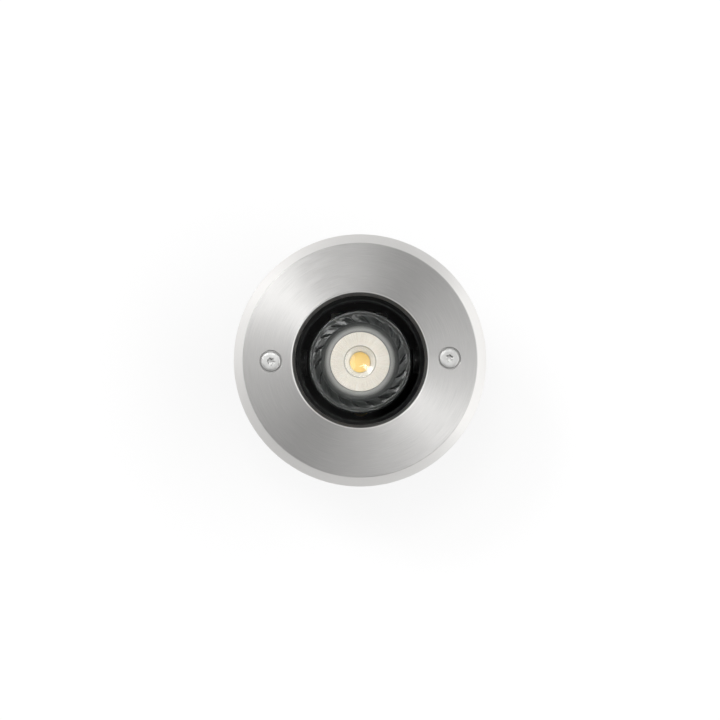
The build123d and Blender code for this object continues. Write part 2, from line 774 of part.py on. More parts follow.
# ================================================================ lamp
# Heat sink of the lamp: a core, a hub round the optic, an outer rim and, between them, a
# ring of vanes that sweep outwards like a turbine's and run down the cone as fins.
vane_top = lamp_front - vane_drop
sink_z = lamp_front - sink_len
vane_in_r = core_end_r - overlap
vane_end_r = lamp_r - lamp_rim_t + vane_rim_bite
with BuildSketch(Plane.XY.offset(vane_top)) as vane:
    with BuildLine():
        lead = ThreePointArc(
            polar(vane_in_r, -vane_curl_deg),
            polar(hub_r, 0),
            polar(lamp_r, vane_sweep_deg),
        )
        tip = Line(lead @ 1, polar(lamp_r, vane_sweep_deg + vane_tip_deg))
        trail = ThreePointArc(
            tip @ 1,
            polar(hub_r, vane_root_deg),
            polar(vane_in_r, vane_root_deg - vane_curl_deg),
        )
        Line(trail @ 1, lead @ 0)
    make_face()
with BuildPart() as lamp_heatsink:
    with BuildSketch(Plane.XY.offset(vane_top)):
        with PolarLocations(0, vane_count):
            add(vane.sketch)
    extrude(amount=sink_z - vane_top)
    with BuildSketch(Plane.XZ):
        with BuildLine():
            Polyline(
                (0, sink_z),
                (sink_end_r, sink_z),
                (vane_end_r, lamp_front - lamp_rim_h),
                (vane_end_r, lamp_front),
                (0, lamp_front),
                close=True,
            )
        make_face()
    revolve(axis=Axis.Z, mode=Mode.INTERSECT)
    with BuildSketch(Plane.XZ):
        with BuildLine():
            Polyline(
                (0, sink_z),
                (core_end_r, sink_z),
                (hub_r, lamp_front - well_depth),
                (hub_r, lamp_front),
                (0, lamp_front),
                close=True,
            )
        make_face()
    revolve(axis=Axis.Z)
    with BuildSketch(Plane.XZ):
        with BuildLine():
            Polyline(
                (lamp_r - lamp_rim_t, lamp_front - lamp_rim_h),
                (lamp_r - lamp_rim_t / 2, lamp_front - lamp_rim_h),
                (lamp_r, lamp_front - lamp_rim_h + lamp_rim_t / 2),
                (lamp_r, lamp_front - lamp_rim_t / 2),
                (lamp_r - lamp_rim_t / 2, lamp_front),
                (lamp_r - lamp_rim_t, lamp_front),
                close=True,
            )
        make_face()
    revolve(axis=Axis.Z)
    with BuildSketch(Plane.XZ):
        with BuildLine():
            Polyline(
                (0, lamp_front - well_depth),
                (hub_bore_r - hub_shoulder, lamp_front - well_depth),
                (hub_bore_r - hub_shoulder, lamp_front - lens_seat_drop),
                (hub_bore_r, lamp_front - lens_seat_drop),
                (hub_bore_r, lamp_front),
                (0, lamp_front),
                close=True,
            )
        make_face()
    revolve(axis=Axis.Z, mode=Mode.SUBTRACT)
lamp_heatsink.part.label = "lamp_heatsink"
export_step(lamp_heatsink.part, "parts/lamp_heatsink.step")

# Round board with the light source in its middle.
board_z = lamp_front - well_depth
with BuildPart() as led_board:
    with BuildSketch(Plane.XY.offset(board_z)):
        Circle(board_r)
    extrude(amount=board_t)
led_board.part.label = "led_board"
export_step(led_board.part, "parts/led_board.step")

chip_z = board_z + board_t
chip_top = chip_z + chip_t
with BuildPart() as led_chip:
    with BuildSketch(Plane.XY.offset(chip_z)):
        Circle(chip_r)
    extrude(amount=chip_t)
led_chip.part.label = "led_chip"
export_step(led_chip.part, "parts/led_chip.step")

# Collimating optic: a solid cone with a hollow over the light source and a flange at its top.
lens_seat_z = lamp_front - lens_seat_drop
lens_foot_z = chip_top + lens_gap
lens_top = lamp_front - lens_drop
lens_well_r = chip_r + lens_well_gap
with BuildPart() as lamp_lens:
    with BuildSketch(Plane.XZ):
        with BuildLine():
            Polyline(
                (0, lens_foot_z + lens_well_h + lens_well_dome),
                (lens_well_r - lens_well_draft, lens_foot_z + lens_well_h),
                (lens_well_r, lens_foot_z),
                (lens_well_r + lens_foot_w, lens_foot_z),
                (lens_r, lens_seat_z),
                (hub_bore_r - fit_gap, lens_seat_z),
                (hub_bore_r - fit_gap, lens_seat_z + lens_flange_t),
                (lens_r, lens_seat_z + lens_flange_t),
                (lens_r, lens_top - lens_round),
                (lens_r - lens_round, lens_top),
                (lens_dish_r + lens_dish_depth, lens_top),
                (lens_dish_r, lens_top - lens_dish_depth),
                (0, lens_top - lens_dish_depth),
                close=True,
            )
        make_face()
    revolve(axis=Axis.Z)
lamp_lens.part.label = "lamp_lens"
export_step(lamp_lens.part, "parts/lamp_lens.step")

# Ring that clamps the optic's flange in the hub.
with BuildPart() as lens_clamp_ring:
    with BuildSketch(Plane.XZ):
        with BuildLine():
            Polyline(
                (lens_r + fit_gap, lens_seat_z + lens_flange_t),
                (hub_bore_r - fit_gap, lens_seat_z + lens_flange_t),
                (hub_bore_r - fit_gap, lamp_front - clamp_drop - clamp_fall),
                (lens_r + fit_gap + clamp_round, lamp_front - clamp_drop),
                (lens_r + fit_gap, lamp_front - clamp_drop - clamp_round),
                close=True,
            )
        make_face()
    revolve(axis=Axis.Z)
lens_clamp_ring.part.label = "lens_clamp_ring"
export_step(lens_clamp_ring.part, "parts/lens_clamp_ring.step")

# Moulded base of the lamp, which holds its driver.
with BuildPart() as lamp_base:
    with BuildSketch(Plane.XZ):
        with BuildLine():
            Polyline(
                (0, pin_seat_z),
                (base_end_r - base_round, pin_seat_z),
                (base_end_r, pin_seat_z + base_round),
                (base_end_r, sink_z - base_step),
                (core_end_r, sink_z - base_step + base_inset),
                (core_end_r, sink_z),
                (0, sink_z),
                close=True,
            )
        make_face()
    revolve(axis=Axis.Z)
lamp_base.part.label = "lamp_base"
export_step(lamp_base.part, "parts/lamp_base.step")

# The lamp's two headed pins.
with BuildPart() as lamp_pins:
    with BuildSketch(Plane.XY.offset(pin_seat_z)):
        with Locations(polar(pin_pitch_r, 0), polar(pin_pitch_r, 180)):
            Circle(pin_neck_r)
    extrude(amount=-(pin_len - pin_head_h))
    with BuildSketch(Plane.XY.offset(pin_seat_z - pin_len)):
        with Locations(polar(pin_pitch_r, 0), polar(pin_pitch_r, 180)):
            Circle(pin_head_r)
    extrude(amount=pin_head_h)
lamp_pins.part.label = "lamp_pins"
export_step(lamp_pins.part, "parts/lamp_pins.step")

# ================================================================ cable glands
with BuildPart() as gland_bodies:
    with BuildSketch(Plane.XY.offset(gland_flange_z)):
        with Locations(*gland_centres):
            RegularPolygon(gland_hex_r, 6)
    extrude(amount=gland_flange_t)
    with BuildSketch(Plane.XY.offset(gland_flange_z + gland_flange_t)):
        with Locations(*gland_centres):
            Circle(gland_thread_r)
    extrude(amount=gland_top - gland_flange_z - gland_flange_t)
    with BuildSketch(Plane.XY.offset(gland_flange_z)):
        with Locations(*gland_centres):
            Circle(gland_collet_r)
    extrude(amount=-gland_collet_len)
    with BuildSketch(Plane.XY.offset(gland_flange_z - gland_collet_len)):
        with Locations(*gland_centres):
            Circle(gland_collet_bore_r)
    extrude(amount=grommet_len + fit_gap, mode=Mode.SUBTRACT)
    with BuildSketch(Plane.XY.offset(gland_top)):
        with Locations(*gland_centres):
            Circle(gland_bore_r)
    extrude(amount=cable_space - gland_top, mode=Mode.SUBTRACT)
gland_bodies.part.label = "gland_bodies"
export_step(gland_bodies.part, "parts/gland_bodies.step")

with BuildPart() as gland_rings:
    with BuildSketch(Plane.XY.offset(gland_flange_z + gland_flange_t)):
        with Locations(*gland_centres):
            Circle(gland_seal_r)
            Circle(gland_thread_r + fit_gap, mode=Mode.SUBTRACT)
    extrude(amount=gland_seal_t)
gland_rings.part.label = "gland_rings"
export_step(gland_rings.part, "parts/gland_rings.step")

with BuildPart() as gland_locknuts:
    with BuildSketch(Plane.XY.offset(floor_top)):
        with Locations(*gland_centres):
            RegularPolygon(gland_hex_r, 6)
            Circle(gland_thread_r + fit_gap, mode=Mode.SUBTRACT)
    extrude(amount=gland_locknut_h)
gland_locknuts.part.label = "gland_locknuts"
export_step(gland_locknuts.part, "parts/gland_locknuts.step")

grommet_z = gland_flange_z - gland_collet_len
with BuildPart() as gland_grommets:
    with BuildSketch(Plane.XY.offset(grommet_z)):
        with Locations(*gland_centres):
            Circle(grommet_r)
            Circle(grommet_bore_r, mode=Mode.SUBTRACT)
    extrude(amount=grommet_len)
gland_grommets.part.label = "gland_grommets"
export_step(gland_grommets.part, "parts/gland_grommets.step")

with BuildPart() as gland_nuts:
    with BuildSketch(Plane.XY.offset(cable_space + gland_dome_h)):
        with Locations(*gland_centres):
            RegularPolygon(gland_hex_r, 6)
    extrude(amount=gland_nut_len - gland_dome_h - running_gap)
    with BuildSketch(Plane.XY.offset(cable_space + gland_dome_h)):
        with Locations(*gland_centres):
            Circle(gland_dome_r)
    extrude(amount=-gland_dome_h, taper=gland_dome_taper)
    with BuildSketch(Plane.XY.offset(cable_space + gland_dome_wall)):
        with Locations(*gland_centres):
            Circle(gland_collet_r + fit_gap)
    extrude(amount=gland_nut_len, mode=Mode.SUBTRACT)
    with BuildSketch(Plane.XY.offset(cable_space)):
        with Locations(*gland_centres):
            Circle(gland_mouth_r)
    extrude(amount=gland_nut_len, mode=Mode.SUBTRACT)
gland_nuts.part.label = "gland_nuts"
export_step(gland_nuts.part, "parts/gland_nuts.step")

# ================================================================ terminals and earth
# Pillar terminal block: a raised tower for each pole on a low web.
barrel_z = floor_top + block_h - barrel_drop
with BuildPart() as terminal_block:
    with BuildSketch(Plane.XY.offset(floor_top)):
        with Locations((0, block_y)):
            Rectangle((pole_count - 1) * pole_pitch + pole_w, block_d)
    extrude(amount=block_web_h)
    with BuildSketch(Plane.XY.offset(floor_top)):
        with Locations(*[(x, block_y) for x in pole_xs]):
            RectangleRounded(pole_w, block_d, pole_corner_r)
    extrude(amount=block_h)
    with BuildSketch(Plane.XZ.offset(-block_y)):
        with Locations(*[(x, barrel_z) for x in pole_xs]):
            Circle(barrel_r + fit_gap)
    extrude(amount=block_d, both=True, mode=Mode.SUBTRACT)
    screw_wells = [(x, block_y + s * clamp_screw_y) for x in pole_xs for s in (1, -1)]
    with BuildSketch(Plane.XY.offset(floor_top + block_h)):
        with Locations(*screw_wells):
            Circle(clamp_screw_r + fit_gap)
    extrude(amount=-barrel_drop, mode=Mode.SUBTRACT)
    with Locations(*[(x, block_y, floor_top + block_web_h) for x in web_xs]):
        Hole(block_screw_r + fit_gap, depth=block_web_h)
terminal_block.part.label = "terminal_block"
export_step(terminal_block.part, "parts/terminal_block.step")

with BuildPart() as terminal_barrels:
    with BuildSketch(Plane.XZ.offset(-block_y)):
        with Locations(*[(x, barrel_z) for x in pole_xs]):
            Circle(barrel_r)
            Circle(barrel_bore_r, mode=Mode.SUBTRACT)
    extrude(amount=block_d / 2 - barrel_end, both=True)
    with BuildSketch(Plane.XY.offset(barrel_z + barrel_r)):
        with Locations(*screw_wells):
            Circle(clamp_screw_r + fit_gap)
    extrude(amount=-barrel_r, mode=Mode.SUBTRACT)
terminal_barrels.part.label = "terminal_barrels"
export_step(terminal_barrels.part, "parts/terminal_barrels.step")

with BuildPart() as terminal_screws:
    with BuildSketch(Plane.XY.offset(floor_top + block_h - clamp_sunk)):
        with Locations(*screw_wells):
            Circle(clamp_screw_r)
    extrude(amount=barrel_z + barrel_bore_r - clamp_bite - floor_top - block_h + clamp_sunk)
terminal_screws.part.label = "terminal_screws"
export_step(terminal_screws.part, "parts/terminal_screws.step")

with BuildPart() as block_screws:
    with BuildSketch(Plane.XY.offset(floor_top + block_web_h)):
        with Locations(*[(x, block_y) for x in web_xs]):
            Circle(block_screw_head_r)
    extrude(amount=block_screw_head_h)
    with BuildSketch(Plane.XY.offset(floor_top + block_web_h)):
        with Locations(*[(x, block_y) for x in web_xs]):
            Circle(block_screw_r)
    extrude(amount=-(block_web_h + block_screw_bite))
block_screws.part.label = "block_screws"
export_step(block_screws.part, "parts/block_screws.step")

earth_top = floor_top + earth_pad_h
with BuildPart() as earth_washer:
    with BuildSketch(Plane.XY.offset(earth_top)):
        with Locations((0, earth_y)):
            Circle(earth_washer_r)
            Circle(earth_screw_r + fit_gap, mode=Mode.SUBTRACT)
    extrude(amount=earth_washer_t)
earth_washer.part.label = "earth_washer"
export_step(earth_washer.part, "parts/earth_washer.step")

with BuildPart() as earth_screw:
    with BuildSketch(Plane.XY.offset(earth_top + earth_washer_t)):
        with Locations((0, earth_y)):
            Circle(earth_head_r)
    extrude(amount=earth_head_h)
    fillet(earth_screw.edges().group_by(Axis.Z)[-1], screw_head_round)
    with BuildSketch(Plane.XY.offset(earth_top + earth_washer_t)):
        with Locations((0, earth_y)):
            Circle(earth_screw_r)
    extrude(amount=-(earth_washer_t + earth_bite))
    with BuildSketch(Plane.XY.offset(earth_top + earth_washer_t + earth_head_h)):
        with Locations((0, earth_y)):
            Rectangle(2 * earth_head_r + slot_w, slot_w)
    extrude(amount=-slot_depth, mode=Mode.SUBTRACT)
earth_screw.part.label = "earth_screw"
export_step(earth_screw.part, "parts/earth_screw.step")
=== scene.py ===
# %% [markdown]
# An in-ground well light, seen from straight above: a turned steel cover, a thick glass in its
# window, and deep inside it a reflector lamp with a faceted optic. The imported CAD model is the
# frame. Every piece made here takes its place from it, rides on one of its bodies and, where
# it stands for a CAD solid, hides that solid.

# %% Load the frame
import json
from math import cos, pi, radians, sin

import bmesh
import bpy
import numpy as np
from mathutils import Matrix, Vector


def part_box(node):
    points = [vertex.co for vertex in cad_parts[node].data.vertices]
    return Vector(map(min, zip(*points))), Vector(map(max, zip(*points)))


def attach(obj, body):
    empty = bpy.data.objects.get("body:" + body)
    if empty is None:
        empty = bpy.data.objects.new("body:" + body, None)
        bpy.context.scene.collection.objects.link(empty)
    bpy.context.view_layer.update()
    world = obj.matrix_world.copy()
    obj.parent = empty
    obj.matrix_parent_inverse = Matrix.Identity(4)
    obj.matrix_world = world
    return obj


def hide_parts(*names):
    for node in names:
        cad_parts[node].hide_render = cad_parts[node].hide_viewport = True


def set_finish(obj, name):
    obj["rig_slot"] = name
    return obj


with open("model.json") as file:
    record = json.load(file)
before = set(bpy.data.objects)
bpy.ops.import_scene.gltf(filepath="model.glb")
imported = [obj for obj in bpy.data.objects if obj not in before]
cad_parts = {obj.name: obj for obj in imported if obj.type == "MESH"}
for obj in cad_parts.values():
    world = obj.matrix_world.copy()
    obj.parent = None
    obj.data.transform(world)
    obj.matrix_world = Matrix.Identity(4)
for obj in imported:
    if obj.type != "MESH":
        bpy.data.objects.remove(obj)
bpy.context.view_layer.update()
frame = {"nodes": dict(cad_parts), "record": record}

nodes = frame["nodes"]
MM = 0.001

# %% [markdown]
# Sizes that the new pieces share with the solids they replace, in millimetres. The heights are
# read from the frame, so that a piece stays on what carries it if the model changes.

# %% Sizes from the frame
bezel_lo, bezel_hi = (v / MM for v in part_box("front_bezel"))
glass_lo, glass_hi = (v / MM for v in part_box("front_glass"))
baffle_lo, baffle_hi = (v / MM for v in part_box("glare_baffle"))
screws_lo, screws_hi = (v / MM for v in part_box("cover_screws"))
lens_lo, lens_hi = (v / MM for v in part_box("lamp_lens"))
_, sink_hi = (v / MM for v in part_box("lamp_heatsink"))
clamp_lo, clamp_hi = (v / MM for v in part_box("lens_clamp_ring"))
BEZEL_R = bezel_hi.x
COVER_TOP = bezel_hi.z
LAMP_FRONT = sink_hi.z
print("cover radius", round(BEZEL_R, 2), "cover top", round(COVER_TOP, 2),
      "lamp front", round(LAMP_FRONT, 2))

# %% [markdown]
# Most pieces of this light were turned on a lathe, so most meshes here are one profile carried
# round an axis. The profile's corners get small arcs first: a real turned edge is never sharp,
# and the arc is what catches the light.


# %% A profile with rounded corners
def rounded(corners, steps=5):
    """Points of a closed profile. Each corner is (radius, height, round): the two edges are cut
    back by round over the tangent of half the corner's angle, and a circle arc joins the cuts."""
    pts = np.array([c[:2] for c in corners], float)
    rounds = np.array([c[2] if len(c) > 2 else 0.0 for c in corners], float)
    to_last = np.roll(pts, 1, axis=0) - pts
    to_next = np.roll(pts, -1, axis=0) - pts
    to_last /= np.linalg.norm(to_last, axis=1)[:, None]
    to_next /= np.linalg.norm(to_next, axis=1)[:, None]
    half = np.arccos(np.clip((to_last * to_next).sum(1), -1, 1)) / 2
    out = []
    for p, a, b, h, r in zip(pts, to_last, to_next, half, rounds):
        if r == 0:
            out.append(p[None])
            continue
        middle = (a + b) / np.linalg.norm(a + b)
        centre = p + middle * r / np.sin(h)
        start = p + a * r / np.tan(h) - centre
        end = p + b * r / np.tan(h) - centre
        turn = np.arctan2(start[0] * end[1] - start[1] * end[0], (start * end).sum())
        t = np.linspace(0, turn, steps + 1)
        aside = np.array([-start[1], start[0]])
        out.append(centre + np.cos(t)[:, None] * start + np.sin(t)[:, None] * aside)
    return np.concatenate(out)


# %% A surface from a grid of points
def grid_mesh(name, points, around=True, along=False):
    """A mesh from points[i, j]: cell (i, j) joins rows i and i + 1 and columns j and j + 1.
    around closes the columns, along closes the rows."""
    rows, cols = points.shape[:2]
    i = np.arange(rows if along else rows - 1)[:, None]
    j = np.arange(cols if around else cols - 1)[None]
    k, m = (i + 1) % rows, (j + 1) % cols
    quads = np.stack([i * cols + j, k * cols + j, k * cols + m, i * cols + m], -1).reshape(-1, 4)
    mesh = bpy.data.meshes.new(name)
    mesh.from_pydata(points.reshape(-1, 3).tolist(), [], quads.tolist())
    return mesh


def polar(r, angle, z, centre=(0, 0)):
    """Points round an upright axis: x is the radius times the cosine of the angle, y the radius
    times its sine."""
    x, y = centre[0] + r * np.cos(angle), centre[1] + r * np.sin(angle)
    return np.stack([x, y, z + 0 * angle], -1)


def tidy(mesh, sharp=35):
    """Merges doubled points at the poles, turns the faces outwards and keeps edges over the
    angle sharp."""
    bm = bmesh.new()
    bm.from_mesh(mesh)
    bmesh.ops.remove_doubles(bm, verts=bm.verts, dist=1e-7)
    bmesh.ops.dissolve_degenerate(bm, dist=1e-8, edges=bm.edges)
    bmesh.ops.recalc_face_normals(bm, faces=bm.faces)
    bm.to_mesh(mesh)
    bm.free()
    mesh.shade_smooth()
    mesh.set_sharp_from_angle(angle=radians(sharp))
    return mesh


def lathe(name, profile, spans=192, centre=(0, 0), closed=True):
    """A profile of (radius, height) turned about an upright axis."""
    angle = np.linspace(0, 2 * pi, spans, endpoint=False)
    points = polar(profile[:, 0, None], angle, profile[:, 1, None], centre)
    return grid_mesh(name, points * MM, along=closed)


# %% Put a piece in the scene
def piece(name, mesh, body, slot, *replaced):
    """An object at the origin that rides on a body, takes a material slot's finish and stands
    for the CAD nodes that it replaces. Its shading normals are weighted by face area, so a wide
    flat face stays flat up to the small round along its edge."""
    obj = bpy.data.objects.new(name, mesh)
    bpy.context.scene.collection.objects.link(obj)
    weighted = obj.modifiers.new("flat_faces", "WEIGHTED_NORMAL")
    weighted.keep_sharp, weighted.weight = True, 100
    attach(obj, body)
    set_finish(obj, slot)
    if replaced:
        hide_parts(*replaced)
    print(name, len(mesh.vertices), "points", len(mesh.polygons), "faces")
    return obj


# %% [markdown]
# The cover plate is turned from stainless steel. Its chamfer, its window's lip and its foot have
# small rounded edges. The two screw wells are cut afterwards, as on the real plate, with a
# boolean: a turned cutter with a flared top also rounds the wells' rims.

# %% The cover plate
CHAMFER_W, CHAMFER_H = 4.5, 2.5
WINDOW_R, WINDOW_LIP, LIP_DROP = 32.2, 0.65, 0.38
WINDOW_END_R, POCKET_Z, SEAT_R = 30.7, glass_hi.z + 1.0, 38.6
plate_profile = rounded([
    (BEZEL_R, bezel_lo.z, 0.25),
    (BEZEL_R, COVER_TOP - CHAMFER_H, 0.35),
    (BEZEL_R - CHAMFER_W, COVER_TOP, 0.5),
    (WINDOW_R + WINDOW_LIP, COVER_TOP, 0.15),
    (WINDOW_R, COVER_TOP - LIP_DROP, 0.15),
    (WINDOW_END_R, POCKET_Z, 0.1),
    (SEAT_R, POCKET_Z),
    (SEAT_R, bezel_lo.z, 0.15),
])
plate = tidy(lathe("cover_plate", plate_profile, spans=288))

# %% The screw wells
HEAD_R, HEAD_SIDE = 4.65, 1.0
SCREW_X = (screws_hi.x - screws_lo.x) / 2 - HEAD_R
WELL_R, WELL_FLARE, WELL_FLOOR = 5.35, 0.22, screws_hi.z - HEAD_SIDE
HOLE_R, HEAD_SEAT_R = 2.75, 4.75
PAST = 1  # how far the cutter stands out of the plate, above and below
well_profile = np.array([
    (0, COVER_TOP + PAST), (WELL_R + WELL_FLARE, COVER_TOP + PAST),
    (WELL_R + WELL_FLARE, COVER_TOP), (WELL_R + 0.07, COVER_TOP - 0.06),
    (WELL_R, COVER_TOP - WELL_FLARE), (WELL_R, WELL_FLOOR), (HEAD_SEAT_R, WELL_FLOOR),
    (HOLE_R, WELL_FLOOR - HEAD_SEAT_R + HOLE_R), (HOLE_R, bezel_lo.z - PAST),
    (0, bezel_lo.z - PAST),
])


def cut(mesh, cutters):
    """The mesh with each closed cutter taken out of it by an exact boolean."""
    scene = bpy.context.scene
    whole = bpy.data.objects.new("whole", mesh)
    scene.collection.objects.link(whole)
    tools = []
    for cutter in cutters:
        tool = bpy.data.objects.new("tool", cutter)
        scene.collection.objects.link(tool)
        mod = whole.modifiers.new("cut", "BOOLEAN")
        mod.operation, mod.solver, mod.object = "DIFFERENCE", "EXACT", tool
        tools.append(tool)
    graph = bpy.context.evaluated_depsgraph_get()
    result = bpy.data.meshes.new_from_object(whole.evaluated_get(graph))
    for obj in [whole] + tools:
        bpy.data.objects.remove(obj)
    return result


wells = [tidy(lathe("well", well_profile, spans=96, centre=(x, 0), closed=False))
         for x in (SCREW_X, -SCREW_X)]
plate = cut(plate, wells)
plate.name = "cover_plate"
plate.shade_smooth()
plate.set_sharp_from_angle(angle=radians(30))
cover_plate = piece("cover_plate", plate, "cover", "brushed_steel_cover", "front_bezel")

# %% [markdown]
# The cover screws are sunk heads with a six-lobe drive. A head is one polar grid: its rings run
# from the drive's floor up its wall, over the top and down the cone to the shank. Rings inside
# the drive are lobed, and the others are round.

# %% The cover screws
SHANK_R, DRIVE_R, DRIVE_LOBE = 2.45, 1.48, 0.26
SCREW_TURNS = (0.3, 0.85)  # radians, how far each screw was driven round
SCREW_LEN = screws_hi.z - screws_lo.z


def lobed(radius, share, angle):
    """A circle whose radius swells and shrinks six times round by a share of the lobe height."""
    return radius + share * DRIVE_LOBE * np.cos(6 * angle)


def screw_mesh(x, turn):
    """Rings of (radius, depth below the top, lobe share) carried round the screw's axis: the
    drive's floor, its wall, the top, the head's rounded edge, the cone and the shank."""
    rings = np.array([
        (0, 1.55, 0), (0.55, 1.5, 0.4), (DRIVE_R - 0.14, 1.45, 1),
        (DRIVE_R - 0.02, 1.3, 1), (DRIVE_R, 0.5, 1), (DRIVE_R + 0.01, 0.12, 1),
        (DRIVE_R + 0.06, 0.03, 1), (DRIVE_R + 0.16, 0, 0.8), (DRIVE_R + 0.6, 0, 0.15),
        (3.0, 0, 0), (HEAD_R - 0.3, 0, 0), (HEAD_R - 0.14, 0.04, 0),
        (HEAD_R - 0.04, 0.14, 0), (HEAD_R, 0.3, 0), (HEAD_R, HEAD_SIDE, 0),
        (SHANK_R, HEAD_SIDE + HEAD_R - SHANK_R, 0), (SHANK_R, SCREW_LEN - 0.6, 0),
        (SHANK_R - 0.6, SCREW_LEN, 0), (0, SCREW_LEN, 0),
    ])
    radius, depth, share = (rings[:, k, None] for k in range(3))
    angle = np.linspace(0, 2 * pi, 96, endpoint=False)
    r = np.maximum(lobed(radius, share, angle - turn), 0)
    return grid_mesh("screw", polar(r, angle, screws_hi.z - depth, (x, 0)) * MM)


def joined(name, meshes):
    """One mesh that holds several."""
    bm = bmesh.new()
    for mesh in meshes:
        bm.from_mesh(mesh)
    whole = bpy.data.meshes.new(name)
    bm.to_mesh(whole)
    bm.free()
    return whole


two_screws = [screw_mesh(x, turn) for x, turn in zip((SCREW_X, -SCREW_X), SCREW_TURNS)]
screw_pair = tidy(joined("cover_screw_pair", two_screws))
cover_screw_pair = piece("cover_screw_pair", screw_pair, "cover", "screw_steel", "cover_screws")

# %% [markdown]
# The glass is 8 mm thick and its edges are ground to a small round. It is a closed solid, so
# that light bends into and out of it as it should.

# %% The glass
GLASS_R, GLASS_EDGE = glass_hi.x, 0.6
glass_profile = rounded([
    (0, glass_lo.z), (GLASS_R - 1, glass_lo.z), (GLASS_R, glass_lo.z, GLASS_EDGE),
    (GLASS_R, glass_hi.z, GLASS_EDGE), (GLASS_R - 1, glass_hi.z), (0, glass_hi.z),
], steps=4)
glass = piece("window_glass", tidy(lathe("window_glass", glass_profile, closed=False)),
              "cover", "clear_glass", "front_glass")

# %% [markdown]
# Under the glass a black ring hides the gap round the lamp. A narrow band beside its inner edge
# slopes outwards and catches a thread of light on one side, which is the faint line round the
# lamp. Fine turned steps on its inner slope keep the rest of it dark.

# %% The glare ring
BAFFLE_EDGE_R, BAFFLE_SKIRT, BAFFLE_FLANGE_Z = 28.5, 2.8, baffle_lo.z + 4.3
BAND_IN, BAND_OUT, BAND_DROP = 0.15, 0.85, 0.15
ring_steps = [
    (BAFFLE_EDGE_R + 0.65 + 0.65 * k / 4 + 0.12 * (k % 2), baffle_hi.z - 1.5 - k, 0.05)
    for k in range(4)]
glare_profile = rounded([
    (BAFFLE_EDGE_R + BAFFLE_SKIRT, baffle_lo.z, 0.1), (BAFFLE_EDGE_R + 1.3, baffle_lo.z, 0.1),
    *ring_steps[::-1],
    (BAFFLE_EDGE_R, baffle_hi.z, 0.05),
    (BAFFLE_EDGE_R + BAND_IN, baffle_hi.z, 0.03),
    (BAFFLE_EDGE_R + BAND_OUT, baffle_hi.z - BAND_DROP, 0.03),
    (BAFFLE_EDGE_R + 1.5, baffle_hi.z - BAND_DROP, 0.03), (BAFFLE_EDGE_R + 1.6, baffle_hi.z, 0.03),
    (baffle_hi.x, baffle_hi.z), (baffle_hi.x, BAFFLE_FLANGE_Z),
    (BAFFLE_EDGE_R + BAFFLE_SKIRT, BAFFLE_FLANGE_Z),
], steps=3)
glare_ring = piece("glare_ring", tidy(lathe("glare_ring", glare_profile, spans=256)),
                   "cover", "baffle_black", "glare_baffle")

# %% [markdown]
# The optic collects the light of the chip. Its face is a shallow cone cut into many small
# facets, two rows of them, with a clear round window over the chip in its middle. The facets
# are geometry: the height of the face runs up and down with the angle.

# %% The optic
LENS_R, FLANGE_R, DISH_R = 14.3, lens_hi.x, 7.6
FACETS, FACET_DEPTH = 60, 0.24
lens_top, lens_foot = lens_hi.z, lens_lo.z
flange_z = LAMP_FRONT - 3.0
flange_top = flange_z + 1.4


def facet_wave(angle, count):
    """A row of shallow ridges: the distance to the nearest facet edge, from 0 to 1."""
    cell = angle * count / (2 * pi) % 1.0
    return 1 - np.abs(2 * cell - 1)


def optic_mesh():
    """Rings of (radius, height, facet depth) round the lamp's axis. The facet depth is the root
    of a half sine across the face, and lowers the points between the ridges."""
    face_r = np.linspace(8.1, LENS_R - 0.45, 14)
    row = (face_r - face_r[0]) / (face_r[-1] - face_r[0])
    face_depth = FACET_DEPTH * np.sin(pi * np.clip(row, 0, 1)) ** 0.5
    inner_edge = [(DISH_R, lens_top - 0.5), (DISH_R + 0.1, lens_top - 0.2),
                  (DISH_R + 0.3, lens_top - 0.02)]
    side_and_foot = [
        (LENS_R - 0.2, lens_top - 0.06), (LENS_R - 0.03, lens_top - 0.25),
        (LENS_R, lens_top - 0.5), (LENS_R, flange_top), (FLANGE_R, flange_top),
        (FLANGE_R, flange_z), (LENS_R, flange_z), (9.2, lens_foot + 1.6), (6.6, lens_foot),
        (5.4, lens_foot), (5.5, lens_foot + 1.0), (6.2, lens_foot + 4.4),
        (7.2, lens_foot + 6.4), (DISH_R, lens_top - 1.3),
    ]
    rings = np.array([(r, z, 0) for r, z in inner_edge]
                     + [(r, lens_top, depth) for r, depth in zip(face_r, face_depth)]
                     + [(r, z, 0) for r, z in side_and_foot])
    r, z, depth = (rings[:, k, None] for k in range(3))
    angle = np.linspace(0, 2 * pi, FACETS * 6, endpoint=False)
    z = z - depth * (1 - facet_wave(angle, FACETS))
    return grid_mesh("optic", polar(r, angle, z) * MM, along=True)


optic = piece("optic", tidy(optic_mesh(), sharp=25), "lamp", "optic", "lamp_lens")

# %% [markdown]
# The middle of the optic is a clear dish. Its slope is the same from near the middle to near its
# edge, so that on one side all of it mirrors the key lamp as a single soft bright patch. Its
# underside has the same form, so that it doesn't bend the view of the chip.

# %% The clear dish over the chip
DISH_SLOPE, DISH_WALL, DISH_RIM_Z = 0.213, 0.7, lens_top - 0.5
FLAT_R, FLAT_EASE, RIM_EASE = 1.5, 1.8, 0.5


def dish_heights(r):
    """Heights over the radius: the slope is eased in from FLAT_R over FLAT_EASE and out over
    RIM_EASE before the rim, and its running sum by the trapezium rule ends at the rim."""
    ease = np.clip((r - FLAT_R) / FLAT_EASE, 0, 1) * np.clip((DISH_R - r) / RIM_EASE, 0, 1)
    rises = DISH_SLOPE * (ease[1:] + ease[:-1]) / 2 * np.diff(r)
    return DISH_RIM_Z - rises.sum() + np.concatenate([[0], np.cumsum(rises)])


